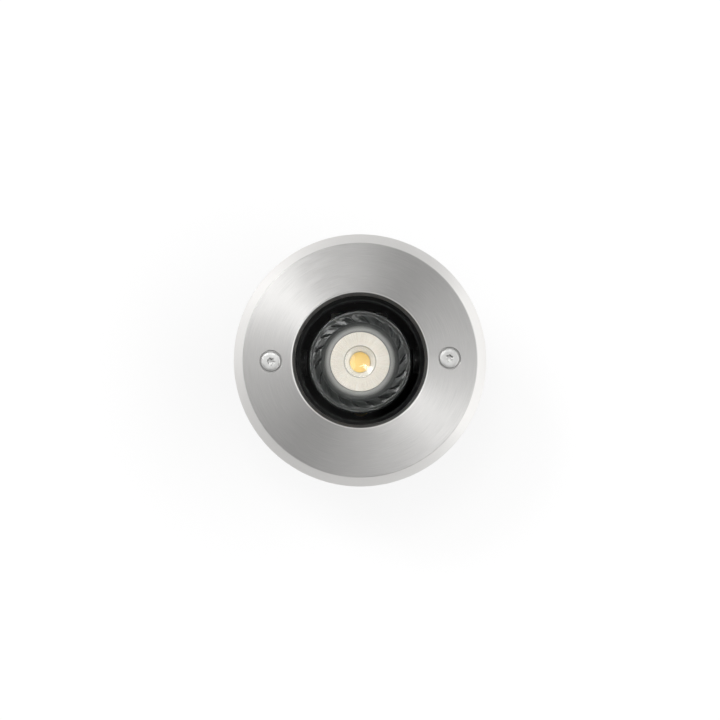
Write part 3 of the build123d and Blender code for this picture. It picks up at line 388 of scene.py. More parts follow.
dish_r = np.linspace(0, DISH_R, 40)
dish_face = np.stack([dish_r, dish_heights(dish_r)], -1)
dish_profile = np.concatenate([dish_face, (dish_face - [0, DISH_WALL])[::-1]])
optic_dish = piece("optic_dish", tidy(lathe("optic_dish", dish_profile, spans=128, closed=False)),
                   "lamp", "optic")

# %% [markdown]
# A soft grey ring clamps the optic. It is rounded over, so its outer side turns away from the
# light and falls into the dark of the heat sink.

# %% The clamp ring
CLAMP_LIP = 0.35  # how far the ring laps over the hub, which hides the gap round the flange
clamp_profile = rounded([
    (14.35, clamp_lo.z), (FLANGE_R, clamp_lo.z), (FLANGE_R, clamp_hi.z - 0.9, 0.1),
    (FLANGE_R + CLAMP_LIP, clamp_hi.z - 0.75, 0.1),
    (FLANGE_R + CLAMP_LIP, clamp_hi.z - 0.55, 0.1),
    (16.6, clamp_hi.z - 0.15, 0.6), (15.1, clamp_hi.z, 0.5), (14.4, clamp_hi.z - 0.3, 0.15),
], steps=6)
clamp_ring = piece("clamp_ring", tidy(lathe("clamp_ring", clamp_profile, spans=192)),
                   "lamp", "optic_ring", "lens_clamp_ring")

# %% [markdown]
# Between the optic's hub and the rim, the heat sink ends in a ring of swept vanes. Their roots are
# crowned, so they roll off the hub and catch the light on one side only, and between two vanes lies a
# drop-shaped pocket. The ring is one height over a grid whose columns follow the vanes' sweep, so every
# pocket wall runs along the grid and stays crisp. The mesh keeps where the casting is dull, in the
# pockets and on the hub, as an attribute for its finish, which also paints these places darker as painted
# shade. The ring sits on the CAD vanes, which carry on below it as fins.

# %% The vane ring
VANES, HUB_R, RIM_IN_R = 18, 18.5, 23.6
PITCH = 360 / VANES
CROWN_SLOPE, CROWN_FROM, CROWN_TO, CROWN_EASE = 0.21, 0.7, 3.7, 0.4
RIM_RISE, RIM_RISE_W, HOLLOW = 0.4, 0.8, 0.12
POCKET_DEPTH, POCKET_FROM, POCKET_LEN = 1.0, 0.2, 3.5
POCKET_HALF, POCKET_WALL = 4.6, 0.35  # degrees, and the width of its sloped wall
RING_FOOT, DULL_SHADED_HUB_R = 3.2, 19.3


def vane_ring_mesh(spans=36):
    """Height over (radius r, sweep angle u). The true angle is u plus a quadratic of r, which
    is the vanes' sweep. From the hub the height falls at one slope, eased at both ends, and it
    rises in a parabola to the rim. A pocket's half width grows from a point, like a drop: t to
    the power 0.75 times the root of 1 - t cubed, with t from 0 at its inner end to 1 at its
    outer end. Its wall is a smoothstep."""
    r = np.linspace(HUB_R - 1.0, RIM_IN_R, 46)[:, None]
    u = np.linspace(0, 360, VANES * spans, endpoint=False)[None]
    x = r - HUB_R
    sweep = 13.5 + 3.343 * x + 0.1129 * x ** 2
    from_middle = (u + PITCH / 2) % PITCH - PITCH / 2
    slope = (CROWN_SLOPE * np.clip((x - CROWN_FROM) / CROWN_EASE, 0, 1)
             * np.clip((CROWN_TO - x) / CROWN_EASE, 0, 1))
    fall = np.cumsum(slope, axis=0) * (r[1] - r[0])
    rise = RIM_RISE * np.clip((r - RIM_IN_R + RIM_RISE_W) / RIM_RISE_W, 0, 1) ** 2
    across = HOLLOW * np.clip(x, 0, 1) * (1 - (from_middle / (PITCH / 2)) ** 2)
    t = np.clip((x - POCKET_FROM) / POCKET_LEN, 0, 1)
    half = POCKET_HALF * t ** 0.75 * np.sqrt(1 - t ** 3)
    inside = np.radians(half - np.abs(from_middle)) * r * 0.6
    pocket = np.clip(inside / POCKET_WALL, 0, 1)
    pocket = pocket ** 2 * (3 - 2 * pocket)
    z = LAMP_FRONT + HOLLOW - fall + rise - across - POCKET_DEPTH * pocket
    top = polar(r, np.radians(u + sweep), z)
    foot = top[[-1, 0]] * [1, 1, 0] + [0, 0, LAMP_FRONT - RING_FOOT]
    mesh = grid_mesh("vane_ring", np.concatenate([top, foot]) * MM, along=True)
    # The attribute marks the dull pockets and hub, which the finish also paints darker as painted shade.
    dull = mesh.attributes.new("dull", "FLOAT", "POINT")
    rough = np.maximum(np.clip(pocket * 8, 0, 1), np.clip((DULL_SHADED_HUB_R - r) / 0.3, 0, 1))
    dull.data.foreach_set("value", np.concatenate([rough, 0 * rough[:2]]).ravel())
    return mesh


vane_ring = piece("vane_ring", tidy(vane_ring_mesh(), sharp=70), "lamp", "lamp_grey")

# %% [markdown]
# Finishes. A small language for shader nodes comes first: one call makes a node, sets its plain
# values and links its sockets.


# %% Make shader nodes
def add_node(tree, kind, settings=None, **sockets):
    """A node in a tree. settings are its properties. A socket is named by its letters, with
    spaces as underscores, and takes a value or the output of another node."""
    made = tree.nodes.new(kind)
    for key, value in (settings or {}).items():
        setattr(made, key, value)
    for key, value in sockets.items():
        if key.startswith("in") and key[2:].isdigit():
            target = made.inputs[int(key[2:])]
        else:
            target = made.inputs[key.replace("_", " ")]
        if isinstance(value, bpy.types.NodeSocket):
            tree.links.new(value, target)
        else:
            target.default_value = value
    return made


def math_node(tree, operation, a, b=0.0, c=0.0, clamp=False):
    """One number out of up to three."""
    return add_node(tree, "ShaderNodeMath", {"operation": operation, "use_clamp": clamp},
                    in0=a, in1=b, in2=c).outputs[0]


def remap(tree, value, low, high, out_low, out_high):
    """The value's range from low to high, moved to another range and held there."""
    return add_node(tree, "ShaderNodeMapRange", {"clamp": True}, Value=value, From_Min=low,
                    From_Max=high, To_Min=out_low, To_Max=out_high).outputs["Result"]


def rising(tree, value, low, high):
    """0 where the value is under low, 1 where it is over high, and a ramp between them."""
    return remap(tree, value, low, high, 0.0, 1.0)


def falling(tree, value, low, high):
    """1 where the value is under low, 0 where it is over high, and a ramp between them."""
    return remap(tree, value, low, high, 1.0, 0.0)


def vector_math(tree, operation, a, b=(0, 0, 0)):
    """A vector out of up to two. LENGTH and DOT_PRODUCT give a number."""
    made = add_node(tree, "ShaderNodeVectorMath", {"operation": operation}, in0=a, in1=b)
    return made.outputs["Value" if operation in ("LENGTH", "DOT_PRODUCT") else "Vector"]


def noise(tree, vector, scale, detail, **more):
    """Smooth noise from 0 to 1, mostly near 0.5."""
    return add_node(tree, "ShaderNodeTexNoise", Vector=vector, Scale=scale, Detail=detail,
                    **more).outputs[0]


def blend_colours(tree, share, a, b):
    """Two colours mixed by a share."""
    made = add_node(tree, "ShaderNodeMix", {"data_type": "RGBA"})
    for name, kind, value in (("Factor", "VALUE", share), ("A", "RGBA", a), ("B", "RGBA", b)):
        target = [x for x in made.inputs if x.name == name and x.type == kind][0]
        if isinstance(value, bpy.types.NodeSocket):
            tree.links.new(value, target)
        else:
            target.default_value = value
    return [x for x in made.outputs if x.type == "RGBA"][0]


def two_tone(tree, value, low, high, dark, light):
    """A colour that goes from dark to light as the value goes from low to high."""
    return blend_colours(tree, rising(tree, value, low, high), (*dark, 1), (*light, 1))


def painted(tree, base, colour, mask, share=None):
    """A base colour with another laid over it where the mask is white, by a share if given."""
    if share is not None:
        mask = math_node(tree, "MULTIPLY", mask, share)
    return blend_colours(tree, mask, base, (*colour, 1))


def shade(colour, factor):
    """A colour made darker or lighter, and held at white."""
    return tuple(min(1.0, factor * c) for c in colour)


def new_group(name, ins, outs):
    """An empty node group with named number sockets, and its two ends."""
    group = bpy.data.node_groups.new(name, "ShaderNodeTree")
    for label, default in ins.items():
        socket = group.interface.new_socket(label, in_out="INPUT", socket_type="NodeSocketFloat")
        socket.default_value = default
    for label in outs:
        group.interface.new_socket(label, in_out="OUTPUT", socket_type="NodeSocketFloat")
    return group, group.nodes.new("NodeGroupInput"), group.nodes.new("NodeGroupOutput")


def use(tree, group, **values):
    """A group placed in a material with its own values."""
    made = add_node(tree, "ShaderNodeGroup", {"node_tree": group})
    for key, value in values.items():
        made.inputs[key].default_value = value
    return made.outputs


def object_place(tree):
    """The place on the object, in metres from its origin."""
    return add_node(tree, "ShaderNodeTexCoord").outputs["Object"]


def level_place(tree):
    """The place on the object without its height."""
    return vector_math(tree, "MULTIPLY", object_place(tree), (1, 1, 0))


# %% [markdown]
# Effects that several finishes share are node groups. Turned streaks follow circles about the
# light's axis: a noise is stretched along the angle by reading the radius at a fine scale and
# the direction at a coarse one, so it has no seam. The group also gives the radius in
# millimetres, for zones.

# %% Turned streaks
TO_MM = 1000
turned, t_in, t_out = new_group(
    "turned_streaks", {"Pitch": 0.12, "Arc": 3.0}, ["Fine", "Coarse", "Radius"])
flat_place = level_place(turned)
length = vector_math(turned, "LENGTH", flat_place)
heading = vector_math(turned, "NORMALIZE", flat_place)
head_xy = add_node(turned, "ShaderNodeSeparateXYZ", in0=heading).outputs
turned.links.new(math_node(turned, "MULTIPLY", length, TO_MM), t_out.inputs["Radius"])
for label, factor in (("Fine", 1.0), ("Coarse", 0.18)):
    scaled = math_node(turned, "MULTIPLY", length, TO_MM * factor)
    spot = add_node(turned, "ShaderNodeCombineXYZ",
                    X=math_node(turned, "DIVIDE", scaled, t_in.outputs["Pitch"]),
                    Y=math_node(turned, "MULTIPLY", head_xy[0], t_in.outputs["Arc"]),
                    Z=math_node(turned, "MULTIPLY", head_xy[1], t_in.outputs["Arc"])).outputs[0]
    turned.links.new(noise(turned, spot, 1.0, 2.0, Roughness=0.6), t_out.inputs[label])
print("group", turned.name)

# %% [markdown]
# Edge wear compares the true normal with one that is rounded off over a small distance: where
# they part, the piece has an edge, and a noise breaks it up. Grain is a fine noise and a cloud
# fifty times coarser. Specks are sparse dots of dust, one cell of a cellular pattern in so many.

# %% Edge wear, grain and specks
wear, w_in, w_out = new_group(
    "edge_wear", {"Radius": 0.0004, "Sharpness": 6.0, "Breaks": 900.0}, ["Mask"])
true_normal = add_node(wear, "ShaderNodeNewGeometry").outputs["Normal"]
soft_normal = add_node(wear, "ShaderNodeBevel", {"samples": 4},
                       Radius=w_in.outputs["Radius"]).outputs[0]
apart = math_node(wear, "SUBTRACT", 1.0, vector_math(wear, "DOT_PRODUCT", true_normal, soft_normal))
edge = math_node(wear, "MULTIPLY", apart, w_in.outputs["Sharpness"], clamp=True)
breaks = noise(wear, object_place(wear), w_in.outputs["Breaks"], 3.0)
worn_mask = math_node(wear, "MULTIPLY", edge, remap(wear, breaks, 0.35, 0.65, 0.15, 1.0))
wear.links.new(worn_mask, w_out.inputs[0])

grain, g_in, g_out = new_group("grain", {"Scale": 3000.0}, ["Fine", "Cloud"])
coarser = math_node(grain, "MULTIPLY", g_in.outputs["Scale"], 0.02)
fine = noise(grain, object_place(grain), g_in.outputs["Scale"], 4.0, Roughness=0.65)
cloud = noise(grain, object_place(grain), coarser, 3.0)
grain.links.new(fine, g_out.inputs[0])
grain.links.new(cloud, g_out.inputs[1])

specks, s_in, s_out = new_group("specks", {"Scale": 700.0, "Share": 0.06}, ["Mask"])
cells = add_node(specks, "ShaderNodeTexVoronoi", Vector=object_place(specks),
                 Scale=s_in.outputs["Scale"]).outputs
dot = falling(specks, cells["Distance"], 0.05, 0.16)
lot = add_node(specks, "ShaderNodeSeparateColor", Color=cells["Color"]).outputs[0]
keep = math_node(specks, "LESS_THAN", lot, s_in.outputs["Share"])
specks.links.new(math_node(specks, "MULTIPLY", dot, keep), s_out.inputs[0])
print("groups", [g.name for g in bpy.data.node_groups])


# %% A new material
def new_finish(name, **plain):
    """A material with its shader, whose plain values are set on the shader's own sockets."""
    mat = bpy.data.materials.new(name)
    mat.use_nodes = True
    tree = mat.node_tree
    shader = tree.nodes["Principled BSDF"]
    for key, value in plain.items():
        shader.inputs[key.replace("_", " ")].default_value = value
    return mat, tree, shader


def feed(tree, shader, base, rough, height, strength, distance):
    """Links colour and roughness to the shader, and a height as a tilt of its surface."""
    tree.links.new(base, shader.inputs["Base Color"])
    tree.links.new(rough, shader.inputs["Roughness"])
    tilt = add_node(tree, "ShaderNodeBump", Strength=strength, Distance=distance, Height=height)
    tree.links.new(tilt.outputs[0], shader.inputs["Normal"])


# %% [markdown]
# Turned stainless steel. The tool leaves fine circular grooves, so a reflection is spread across
# them, from the middle outwards, and hardly along them: that gives the plate its bright and dark
# sectors. The shader's anisotropy does it, with its direction from a radial tangent, and the
# streak group varies colour, roughness and a very low relief.

# %% Turned steel
# Painted highlight colours for the chamfer and the window's lip, and a painted shade colour for the
# window's wall.
CHAMFER_PAINTED_LIGHT, LIP_PAINTED_LIGHT = (0.79, 0.78, 0.765), (0.68, 0.675, 0.66)
WALL_PAINTED_SHADE, BRIGHT_EDGE = (0.075, 0.075, 0.074), (0.86, 0.86, 0.85)


def turned_steel(name, colour, dark, rough, anisotropic, pitch, relief, zones=False):
    """With zones, the chamfer round the plate and the window's lip are painted brighter, a painted
    highlight, and the wall of the window is painted darker, a painted shade."""
    mat, tree, shader = new_finish(name, Metallic=1.0, Anisotropic=anisotropic,
                                   Anisotropic_Rotation=0.25)
    streaks = use(tree, turned, Pitch=pitch, Arc=5.0)
    worn = use(tree, wear, Radius=0.00025, Sharpness=5.0, Breaks=700.0)
    cloudy = use(tree, grain, Scale=1500.0)
    base = two_tone(tree, streaks["Fine"], 0.3, 0.7, dark, colour)
    if zones:
        at = streaks["Radius"]
        # Painted highlight on the chamfer and the lip, and painted shade on the window's wall.
        base = painted(tree, base, CHAMFER_PAINTED_LIGHT, rising(tree, at, 55.4, 55.9))
        base = painted(tree, base, LIP_PAINTED_LIGHT, falling(tree, at, 32.75, 32.9))
        base = painted(tree, base, WALL_PAINTED_SHADE, falling(tree, at, 32.15, 32.25))
    base = painted(tree, base, BRIGHT_EDGE, worn["Mask"], 0.35)
    grooves = remap(tree, streaks["Coarse"], 0.3, 0.7, rough - 0.04, rough + 0.04)
    uneven = math_node(tree, "ADD", grooves, remap(tree, cloudy["Cloud"], 0.3, 0.7, -0.02, 0.03))
    feed(tree, shader, base, uneven, streaks["Fine"], relief, 0.00001)
    tangent = add_node(tree, "ShaderNodeTangent", {"direction_type": "RADIAL", "axis": "Z"})
    tree.links.new(tangent.outputs[0], shader.inputs["Tangent"])
    return mat


# %% [markdown]
# Plastics, paint and rubber share one recipe: a base colour that is slightly cloudy, a fine
# grain in roughness and relief, lighter worn edges and a few specks of dust. The small plain
# metals have the same recipe without the dust.

# %% Moulded, painted and rubber finishes, and plain metals
DUST = (0.42, 0.4, 0.37)


def grained(name, colour, rough, worn_colour, scale=2500.0, relief=0.25, dust=0.25, **plain):
    """The colour, from 0.8 to 1.2 times its brightness, over clouds of grain."""
    mat, tree, shader = new_finish(name, **plain)
    texture = use(tree, grain, Scale=scale)
    worn = use(tree, wear, Radius=0.0004, Sharpness=5.0, Breaks=600.0)
    dusty = use(tree, specks, Scale=420.0, Share=0.12)
    base = two_tone(tree, texture["Cloud"], 0.3, 0.7, shade(colour, 0.8), shade(colour, 1.2))
    base = painted(tree, base, worn_colour, worn["Mask"], 0.4)
    base = painted(tree, base, DUST, dusty["Mask"], dust)
    uneven = remap(tree, texture["Fine"], 0.25, 0.75, rough - 0.06, rough + 0.06)
    feed(tree, shader, base, uneven, texture["Fine"], relief, 0.00004)
    return mat


def metal(name, colour, dark, rough, scale=1800.0, relief=0.2):
    """Clouds of two colours of metal, brighter along the edges."""
    mat, tree, shader = new_finish(name, Metallic=1.0)
    texture = use(tree, grain, Scale=scale)
    worn = use(tree, wear, Radius=0.0002, Sharpness=5.0, Breaks=900.0)
    base = two_tone(tree, texture["Cloud"], 0.3, 0.7, dark, colour)
    base = painted(tree, base, (0.9, 0.9, 0.88), worn["Mask"], 0.5)
    uneven = remap(tree, texture["Fine"], 0.3, 0.7, rough - 0.07, rough + 0.07)
    feed(tree, shader, base, uneven, texture["Fine"], relief, 0.00002)
    return mat


# %% [markdown]
# The mounting sleeve is moulded in one piece. Its skin is spark-eroded to an even grain, which is
# coarser than on the small mouldings. Faint flow marks run down the tube, and the two halves of
# the mould left a parting line on each side.

# %% The moulded sleeve
def moulded_sleeve(name, colour):
    """Flow marks are a noise that is stretched 13 times along the height. The parting line is
    where the plane through the axis cuts the skin, 0.1 to 0.2 mm to either side."""
    mat, tree, shader = new_finish(name)
    place = object_place(tree)
    texture = use(tree, grain, Scale=1100.0)
    worn = use(tree, wear, Radius=0.0006, Sharpness=5.0, Breaks=500.0)
    tall = vector_math(tree, "MULTIPLY", place, (90, 90, 7))
    flow = noise(tree, tall, 1.0, 5.0, Roughness=0.6, Distortion=0.4)
    aside = add_node(tree, "ShaderNodeSeparateXYZ", in0=place).outputs[1]
    seam = falling(tree, math_node(tree, "ABSOLUTE", aside), 0.00008, 0.00022)
    base = two_tone(tree, flow, 0.35, 0.65, shade(colour, 0.75), shade(colour, 1.35))
    base = painted(tree, base, (0.13, 0.13, 0.13), worn["Mask"], 0.45)
    base = painted(tree, base, (0.09, 0.09, 0.09), seam, 0.6)
    uneven = math_node(tree, "ADD", remap(tree, flow, 0.3, 0.7, 0.4, 0.52),
                       remap(tree, texture["Fine"], 0.3, 0.7, -0.06, 0.06))
    relief = math_node(tree, "ADD", texture["Fine"], math_node(tree, "MULTIPLY", seam, 1.5))
    feed(tree, shader, base, uneven, relief, 0.55, 0.00006)
    return mat


# %% [markdown]
# The glare ring is a dead black, but the sloped band beside its inner edge is smooth and is also painted
# a little lighter, a painted highlight, so it shows as a thin line.

# %% The glare ring's black
def glare_black(name):
    """The band is where the radius is within 0.3 mm of its middle."""
    mat, tree, shader = new_finish(name, Specular_IOR_Level=0.3)
    radius = use(tree, turned)["Radius"]
    texture = use(tree, grain, Scale=2500.0)
    band_middle = BAFFLE_EDGE_R + (BAND_IN + BAND_OUT) / 2
    off_middle = math_node(tree, "ABSOLUTE", math_node(tree, "SUBTRACT", radius, band_middle))
    band = falling(tree, off_middle, 0.3, 0.42)
    base = two_tone(tree, texture["Cloud"], 0.3, 0.7, (0.003, 0.003, 0.003), (0.005, 0.005, 0.005))
    # Painted highlight: the band is a little lighter than the black round it.
    base = painted(tree, base, (0.012, 0.014, 0.013), band)
    dull = remap(tree, texture["Fine"], 0.25, 0.75, 0.75, 0.95)
    uneven = math_node(tree, "SUBTRACT", dull, math_node(tree, "MULTIPLY", band, 0.5))
    feed(tree, shader, base, uneven, texture["Fine"], 0.2, 0.00003)
    return mat


# %% [markdown]
# The heat sink is painted dark grey. The vanes' crowned roots are rubbed smooth and shine, and the
# pockets between them and the hub are rough and painted darker, a painted shade. A painted light greys
# the hub next to the clamp ring, standing for the optic's stray light.

# %% The heat sink's grey
def cast_grey(name, colour, rough, dull):
    """rough is the roughness of the crowns, dull that of the pockets, which the vane ring's
    attribute marks."""
    mat, tree, shader = new_finish(name, Specular_IOR_Level=0.8)
    texture = use(tree, grain, Scale=1400.0)
    worn = use(tree, wear, Radius=0.0003, Sharpness=4.0, Breaks=600.0)
    radius = use(tree, turned)["Radius"]
    dull_and_shade = add_node(tree, "ShaderNodeAttribute", {"attribute_name": "dull"}).outputs["Fac"]
    base = two_tone(tree, texture["Cloud"], 0.3, 0.7, shade(colour, 0.8), shade(colour, 1.2))
    base = painted(tree, base, (0.1, 0.105, 0.1), worn["Mask"], 0.2)
    # Painted shade: darker in the pockets and on the hub where the attribute marks them.
    base = painted(tree, base, (0.008, 0.009, 0.0085), dull_and_shade, 0.4)
    # Painted light: the optic's stray light greys the hub next to the clamp ring.
    base = painted(tree, base, (0.09, 0.092, 0.088), remap(tree, radius, 17.3, 18.6, 0.85, 0.0))
    uneven = remap(tree, texture["Fine"], 0.25, 0.75, rough - 0.05, rough + 0.05)
    uneven = math_node(tree, "ADD", uneven, math_node(tree, "MULTIPLY", dull_and_shade, dull - rough))
    feed(tree, shader, base, uneven, texture["Fine"], 0.2, 0.00004)
    return mat


# %% [markdown]
# The clamp ring is a milky plastic that the optic shines into. Its colour is painted palest at the optic,
# a painted light, and darker outwards into the dark hub, a painted shade, with one turned line near the
# optic.

# %% The milky clamp ring
def milky_ring(name, inner, outer):
    """The colour goes from inner to outer between the radii of 15.6 and 17.6 mm."""
    mat, tree, shader = new_finish(name, IOR=1.45, Coat_Weight=0.2, Coat_Roughness=0.2)
    radius = use(tree, turned)["Radius"]
    texture = use(tree, grain, Scale=2500.0)
    # Painted light and shade: pale at the optic, dark towards the hub.
    base = two_tone(tree, radius, 15.6, 17.6, inner, outer)
    line = math_node(tree, "COMPARE", radius, 14.55, 0.12)
    base = painted(tree, base, (0.12, 0.125, 0.12), line, 0.5)
    uneven = remap(tree, texture["Cloud"], 0.3, 0.7, 0.38, 0.5)
    feed(tree, shader, base, uneven, texture["Fine"], 0.1, 0.00004)
    return mat


# %% [markdown]
# Glass is clear to the eye but would throw a black shadow of its own: the renderer doesn't
# carry lamp light through two bending surfaces. For shadow rays it is therefore simply
# transparent, which the Light Path node decides.

# %% Clear glass
def clear(name, tint, rough, ior=1.5, **plain):
    """A faint cloud in the tint, and specks of dust that are a little rougher."""
    mat, tree, shader = new_finish(name, Transmission_Weight=1.0, IOR=ior, **plain)
    texture = use(tree, grain, Scale=300.0)
    clouds = remap(tree, texture["Cloud"], 0.3, 0.7, 0.0, 0.4)
    tree.links.new(painted(tree, (*tint, 1), (0.99, 0.99, 0.99), clouds), shader.inputs["Base Color"])
    dusty = remap(tree, use(tree, specks, Scale=300.0, Share=0.03)["Mask"], 0.0, 1.0, rough, rough + 0.05)
    tree.links.new(dusty, shader.inputs["Roughness"])
    shadow_ray = add_node(tree, "ShaderNodeLightPath").outputs["Is Shadow Ray"]
    see_through = add_node(tree, "ShaderNodeBsdfTransparent", Color=(0.98, 0.985, 0.98, 1))
    chosen = add_node(tree, "ShaderNodeMixShader", in0=shadow_ray, in1=shader.outputs[0],
                      in2=see_through.outputs[0])
    tree.links.new(chosen.outputs[0], tree.nodes["Material Output"].inputs["Surface"])
    return mat


# %% [markdown]
# The optic's face looks cream, because its facets spread the colour of the chip. Its finish is a pale
# satin plastic with a clear coat and fine streaks that run outwards with the facets, and a faint glow of
# its own, a painted light. A thin grey line, a painted shadow, marks where the clear dish is set in, and
# inside it the well is white.

# %% The optic's cream face
def optic_cream(name):
    """The streaks are a noise over the direction from the axis alone, so they run outwards."""
    # Painted light: the optic glows faintly, although it is no lamp.
    mat, tree, shader = new_finish(name, Coat_Weight=0.15, Coat_Roughness=0.2, IOR=1.45,
                                   Emission_Color=(1.0, 0.95, 0.88, 1), Emission_Strength=0.1)
    radius = use(tree, turned)["Radius"]
    rays = noise(tree, vector_math(tree, "NORMALIZE", level_place(tree)), 26.0, 3.0, Roughness=0.7)
    flecks = noise(tree, object_place(tree), 900.0, 2.0)
    base = two_tone(tree, rays, 0.35, 0.65, (0.90, 0.82, 0.71), (0.99, 0.95, 0.87))
    base = painted(tree, base, (0.92, 0.82, 0.70), remap(tree, flecks, 0.45, 0.7, 0.0, 0.35))
    # Painted shadow: a thin grey line where the clear dish is set in.
    base = painted(tree, base, (0.36, 0.355, 0.34), falling(tree, radius, DISH_R + 0.15, DISH_R + 0.4))
    base = painted(tree, base, (0.90, 0.93, 0.97), falling(tree, radius, DISH_R - 0.25, DISH_R - 0.05))
    feed(tree, shader, base, remap(tree, rays, 0.3, 0.7, 0.3, 0.45), rays, 0.15, 0.00005)
    return mat


# %% The finish of every slot
finishes = {
    "brushed_steel_cover": turned_steel(
        "brushed_steel_cover", (0.50, 0.495, 0.485), (0.42, 0.415, 0.41), rough=0.37,
        anisotropic=0.85, pitch=0.11, relief=0.25, zones=True),
    "screw_steel": turned_steel(
        "screw_steel", (0.6, 0.6, 0.59), (0.5, 0.5, 0.49), rough=0.36, anisotropic=0.2,
        pitch=0.15, relief=0.15),
    "clear_glass": clear("clear_glass", (0.985, 0.992, 0.988), 0.0),
    "gasket_rubber": grained("gasket_rubber", (0.02, 0.02, 0.02), 0.75, (0.05, 0.05, 0.05)),
    "baffle_black": glare_black("baffle_black"),
    "housing_black": grained(
        "housing_black", (0.022, 0.022, 0.024), 0.5, (0.16, 0.16, 0.16), scale=1600.0, relief=0.5),
    "sleeve_black": moulded_sleeve("sleeve_black", (0.032, 0.032, 0.034)),
    "coated_steel_black": grained(
        "coated_steel_black", (0.005, 0.005, 0.005), 0.55, (0.02, 0.02, 0.02), scale=2200.0,
        dust=0.02, Specular_IOR_Level=0.15),
    "zinc_steel": metal("zinc_steel", (0.66, 0.66, 0.65), (0.5, 0.5, 0.5), 0.38),
    "brass": metal("brass", (0.78, 0.6, 0.3), (0.62, 0.46, 0.2), 0.32),
    "ceramic": grained("ceramic", (0.78, 0.76, 0.7), 0.55, (0.85, 0.84, 0.8), relief=0.3, dust=0.3),
    "lamp_grey": cast_grey("lamp_grey", (0.024, 0.0265, 0.025), rough=0.22, dull=0.85),
    "lamp_base_white": grained(
        "lamp_base_white", (0.75, 0.75, 0.73), 0.4, (0.85, 0.85, 0.84), dust=0.2),
    "optic": optic_cream("optic"),
    "optic_ring": milky_ring("optic_ring", (0.4, 0.395, 0.38), (0.05, 0.052, 0.05)),
    # Painted light: the chip glows faintly, although the lamp is not lit.
    "led_yellow": grained(
        "led_yellow", (0.95, 0.60, 0.17), 0.5, (0.95, 0.7, 0.3), scale=2600.0, dust=0.0,
        Emission_Color=(1.0, 0.62, 0.2, 1), Emission_Strength=0.12),
    "board_white": grained("board_white", (0.86, 0.86, 0.84), 0.4, (0.9, 0.9, 0.9), dust=0.0),
    "gland_black": grained(
        "gland_black", (0.025, 0.025, 0.025), 0.45, (0.1, 0.1, 0.1), scale=1800.0),
    "terminal_white": grained("terminal_white", (0.78, 0.78, 0.76), 0.4, (0.86, 0.86, 0.85)),
}
optic_clear = clear("optic_clear", (0.985, 0.985, 0.985), 0.05, ior=1.4,
                    Coat_Weight=0.3, Coat_Roughness=0.25)
print("finishes", len(finishes) + 1)

# %% Dress every node and piece
for part in frame["record"]["subparts"]:
    dressed = nodes[part["node"]]
    for material_slot in dressed.material_slots:
        material_slot.material = finishes[part["material_slot"]]
for obj in (cover_plate, cover_screw_pair, glass, glare_ring, optic, clamp_ring, vane_ring):
    obj.data.materials.clear()
    obj.data.materials.append(finishes[obj["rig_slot"]])
optic_dish.data.materials.append(optic_clear)

# %% [markdown]
# The studio's floor is pale paper. It takes light and shadow from every lamp, and to the eye and
# to reflections it is a mid grey plus a glow, which together come out white.

# %% The floor
FLOOR_HALF = 1.5
FLOOR_GLOW, FLOOR_SEEN, FLOOR_PALE = 0.68, (0.3, 0.3, 0.3, 1), (0.5, 0.5, 0.5, 1)


def seen_rays(tree):
    """1 for rays that the eye, a reflection or the glass sends out, 0 for those that only
    carry light."""
    path = add_node(tree, "ShaderNodeLightPath").outputs
    bent = math_node(tree, "ADD", path["Is Glossy Ray"], path["Is Transmission Ray"])
    return math_node(tree, "ADD", path["Is Camera Ray"], bent, clamp=True)


floor_corners = [(x * FLOOR_HALF, y * FLOOR_HALF, 0) for x, y in ((-1, -1), (1, -1), (1, 1), (-1, 1))]
floor_mesh = bpy.data.meshes.new("floor")
floor_mesh.from_pydata(floor_corners, [], [(0, 1, 2, 3)])
floor = bpy.data.objects.new("floor", floor_mesh)
bpy.context.scene.collection.objects.link(floor)
floor_mat, floor_tree, floor_shader = new_finish("floor_paper", Roughness=0.9)
seen = seen_rays(floor_tree)
floor_base = blend_colours(floor_tree, seen, FLOOR_PALE, FLOOR_SEEN)
floor_tree.links.new(floor_base, floor_shader.inputs["Base Color"])
glow = add_node(floor_tree, "ShaderNodeEmission", Color=(1, 1, 1, 1),
                Strength=math_node(floor_tree, "MULTIPLY", seen, FLOOR_GLOW))
both = add_node(floor_tree, "ShaderNodeAddShader", in0=floor_shader.outputs[0], in1=glow.outputs[0])
floor_tree.links.new(both.outputs[0], floor_tree.nodes["Material Output"].inputs["Surface"])
floor_mesh.materials.append(floor_mat)

# %% [markdown]
# Over the light hangs a dark ceiling, so that the glass shows no veil and the plate's reflection
# isn't flat. Dark flags stand high up on two opposite sides, for the plate's dark sectors. They
# are a function of the compass angle a, (1 + sin(2 a - turn)) / 2 to a power, which is made from
# products of x and y. Light that the eye doesn't see comes from a plain sky.

# %% The world
SKY_PLAIN, CEILING_DARK = 0.75, 0.05
CEILING_FROM, CEILING_TO = 0.55, 0.85  # sine of the height over the horizon
FLAG_FROM, FLAG_TO = 0.58, 0.75
FLAG_TURN, FLAG_POWER = radians(2 * 5), 7.0  # darkest at 45 degrees plus half the turn
world = bpy.data.worlds.new("studio")
bpy.context.scene.world = world
world.use_nodes = True
sky = world.node_tree
sky.nodes.clear()
toward = add_node(sky, "ShaderNodeSeparateXYZ",
                  in0=add_node(sky, "ShaderNodeTexCoord").outputs["Generated"]).outputs
height = toward[2]
ceiling = remap(sky, height, CEILING_FROM, CEILING_TO, 1.0, CEILING_DARK)
xx, yy, xy = (math_node(sky, "MULTIPLY", toward[i], toward[j]) for i, j in ((0, 0), (1, 1), (0, 1)))
level = math_node(sky, "SUBTRACT", yy, xx)
slanted = math_node(sky, "MULTIPLY", xy, cos(FLAG_TURN))
sine = math_node(sky, "MULTIPLY_ADD", level, 0.5 * sin(FLAG_TURN), slanted)
flat_sq = math_node(sky, "MAXIMUM", math_node(sky, "ADD", xx, yy), 0.0001)
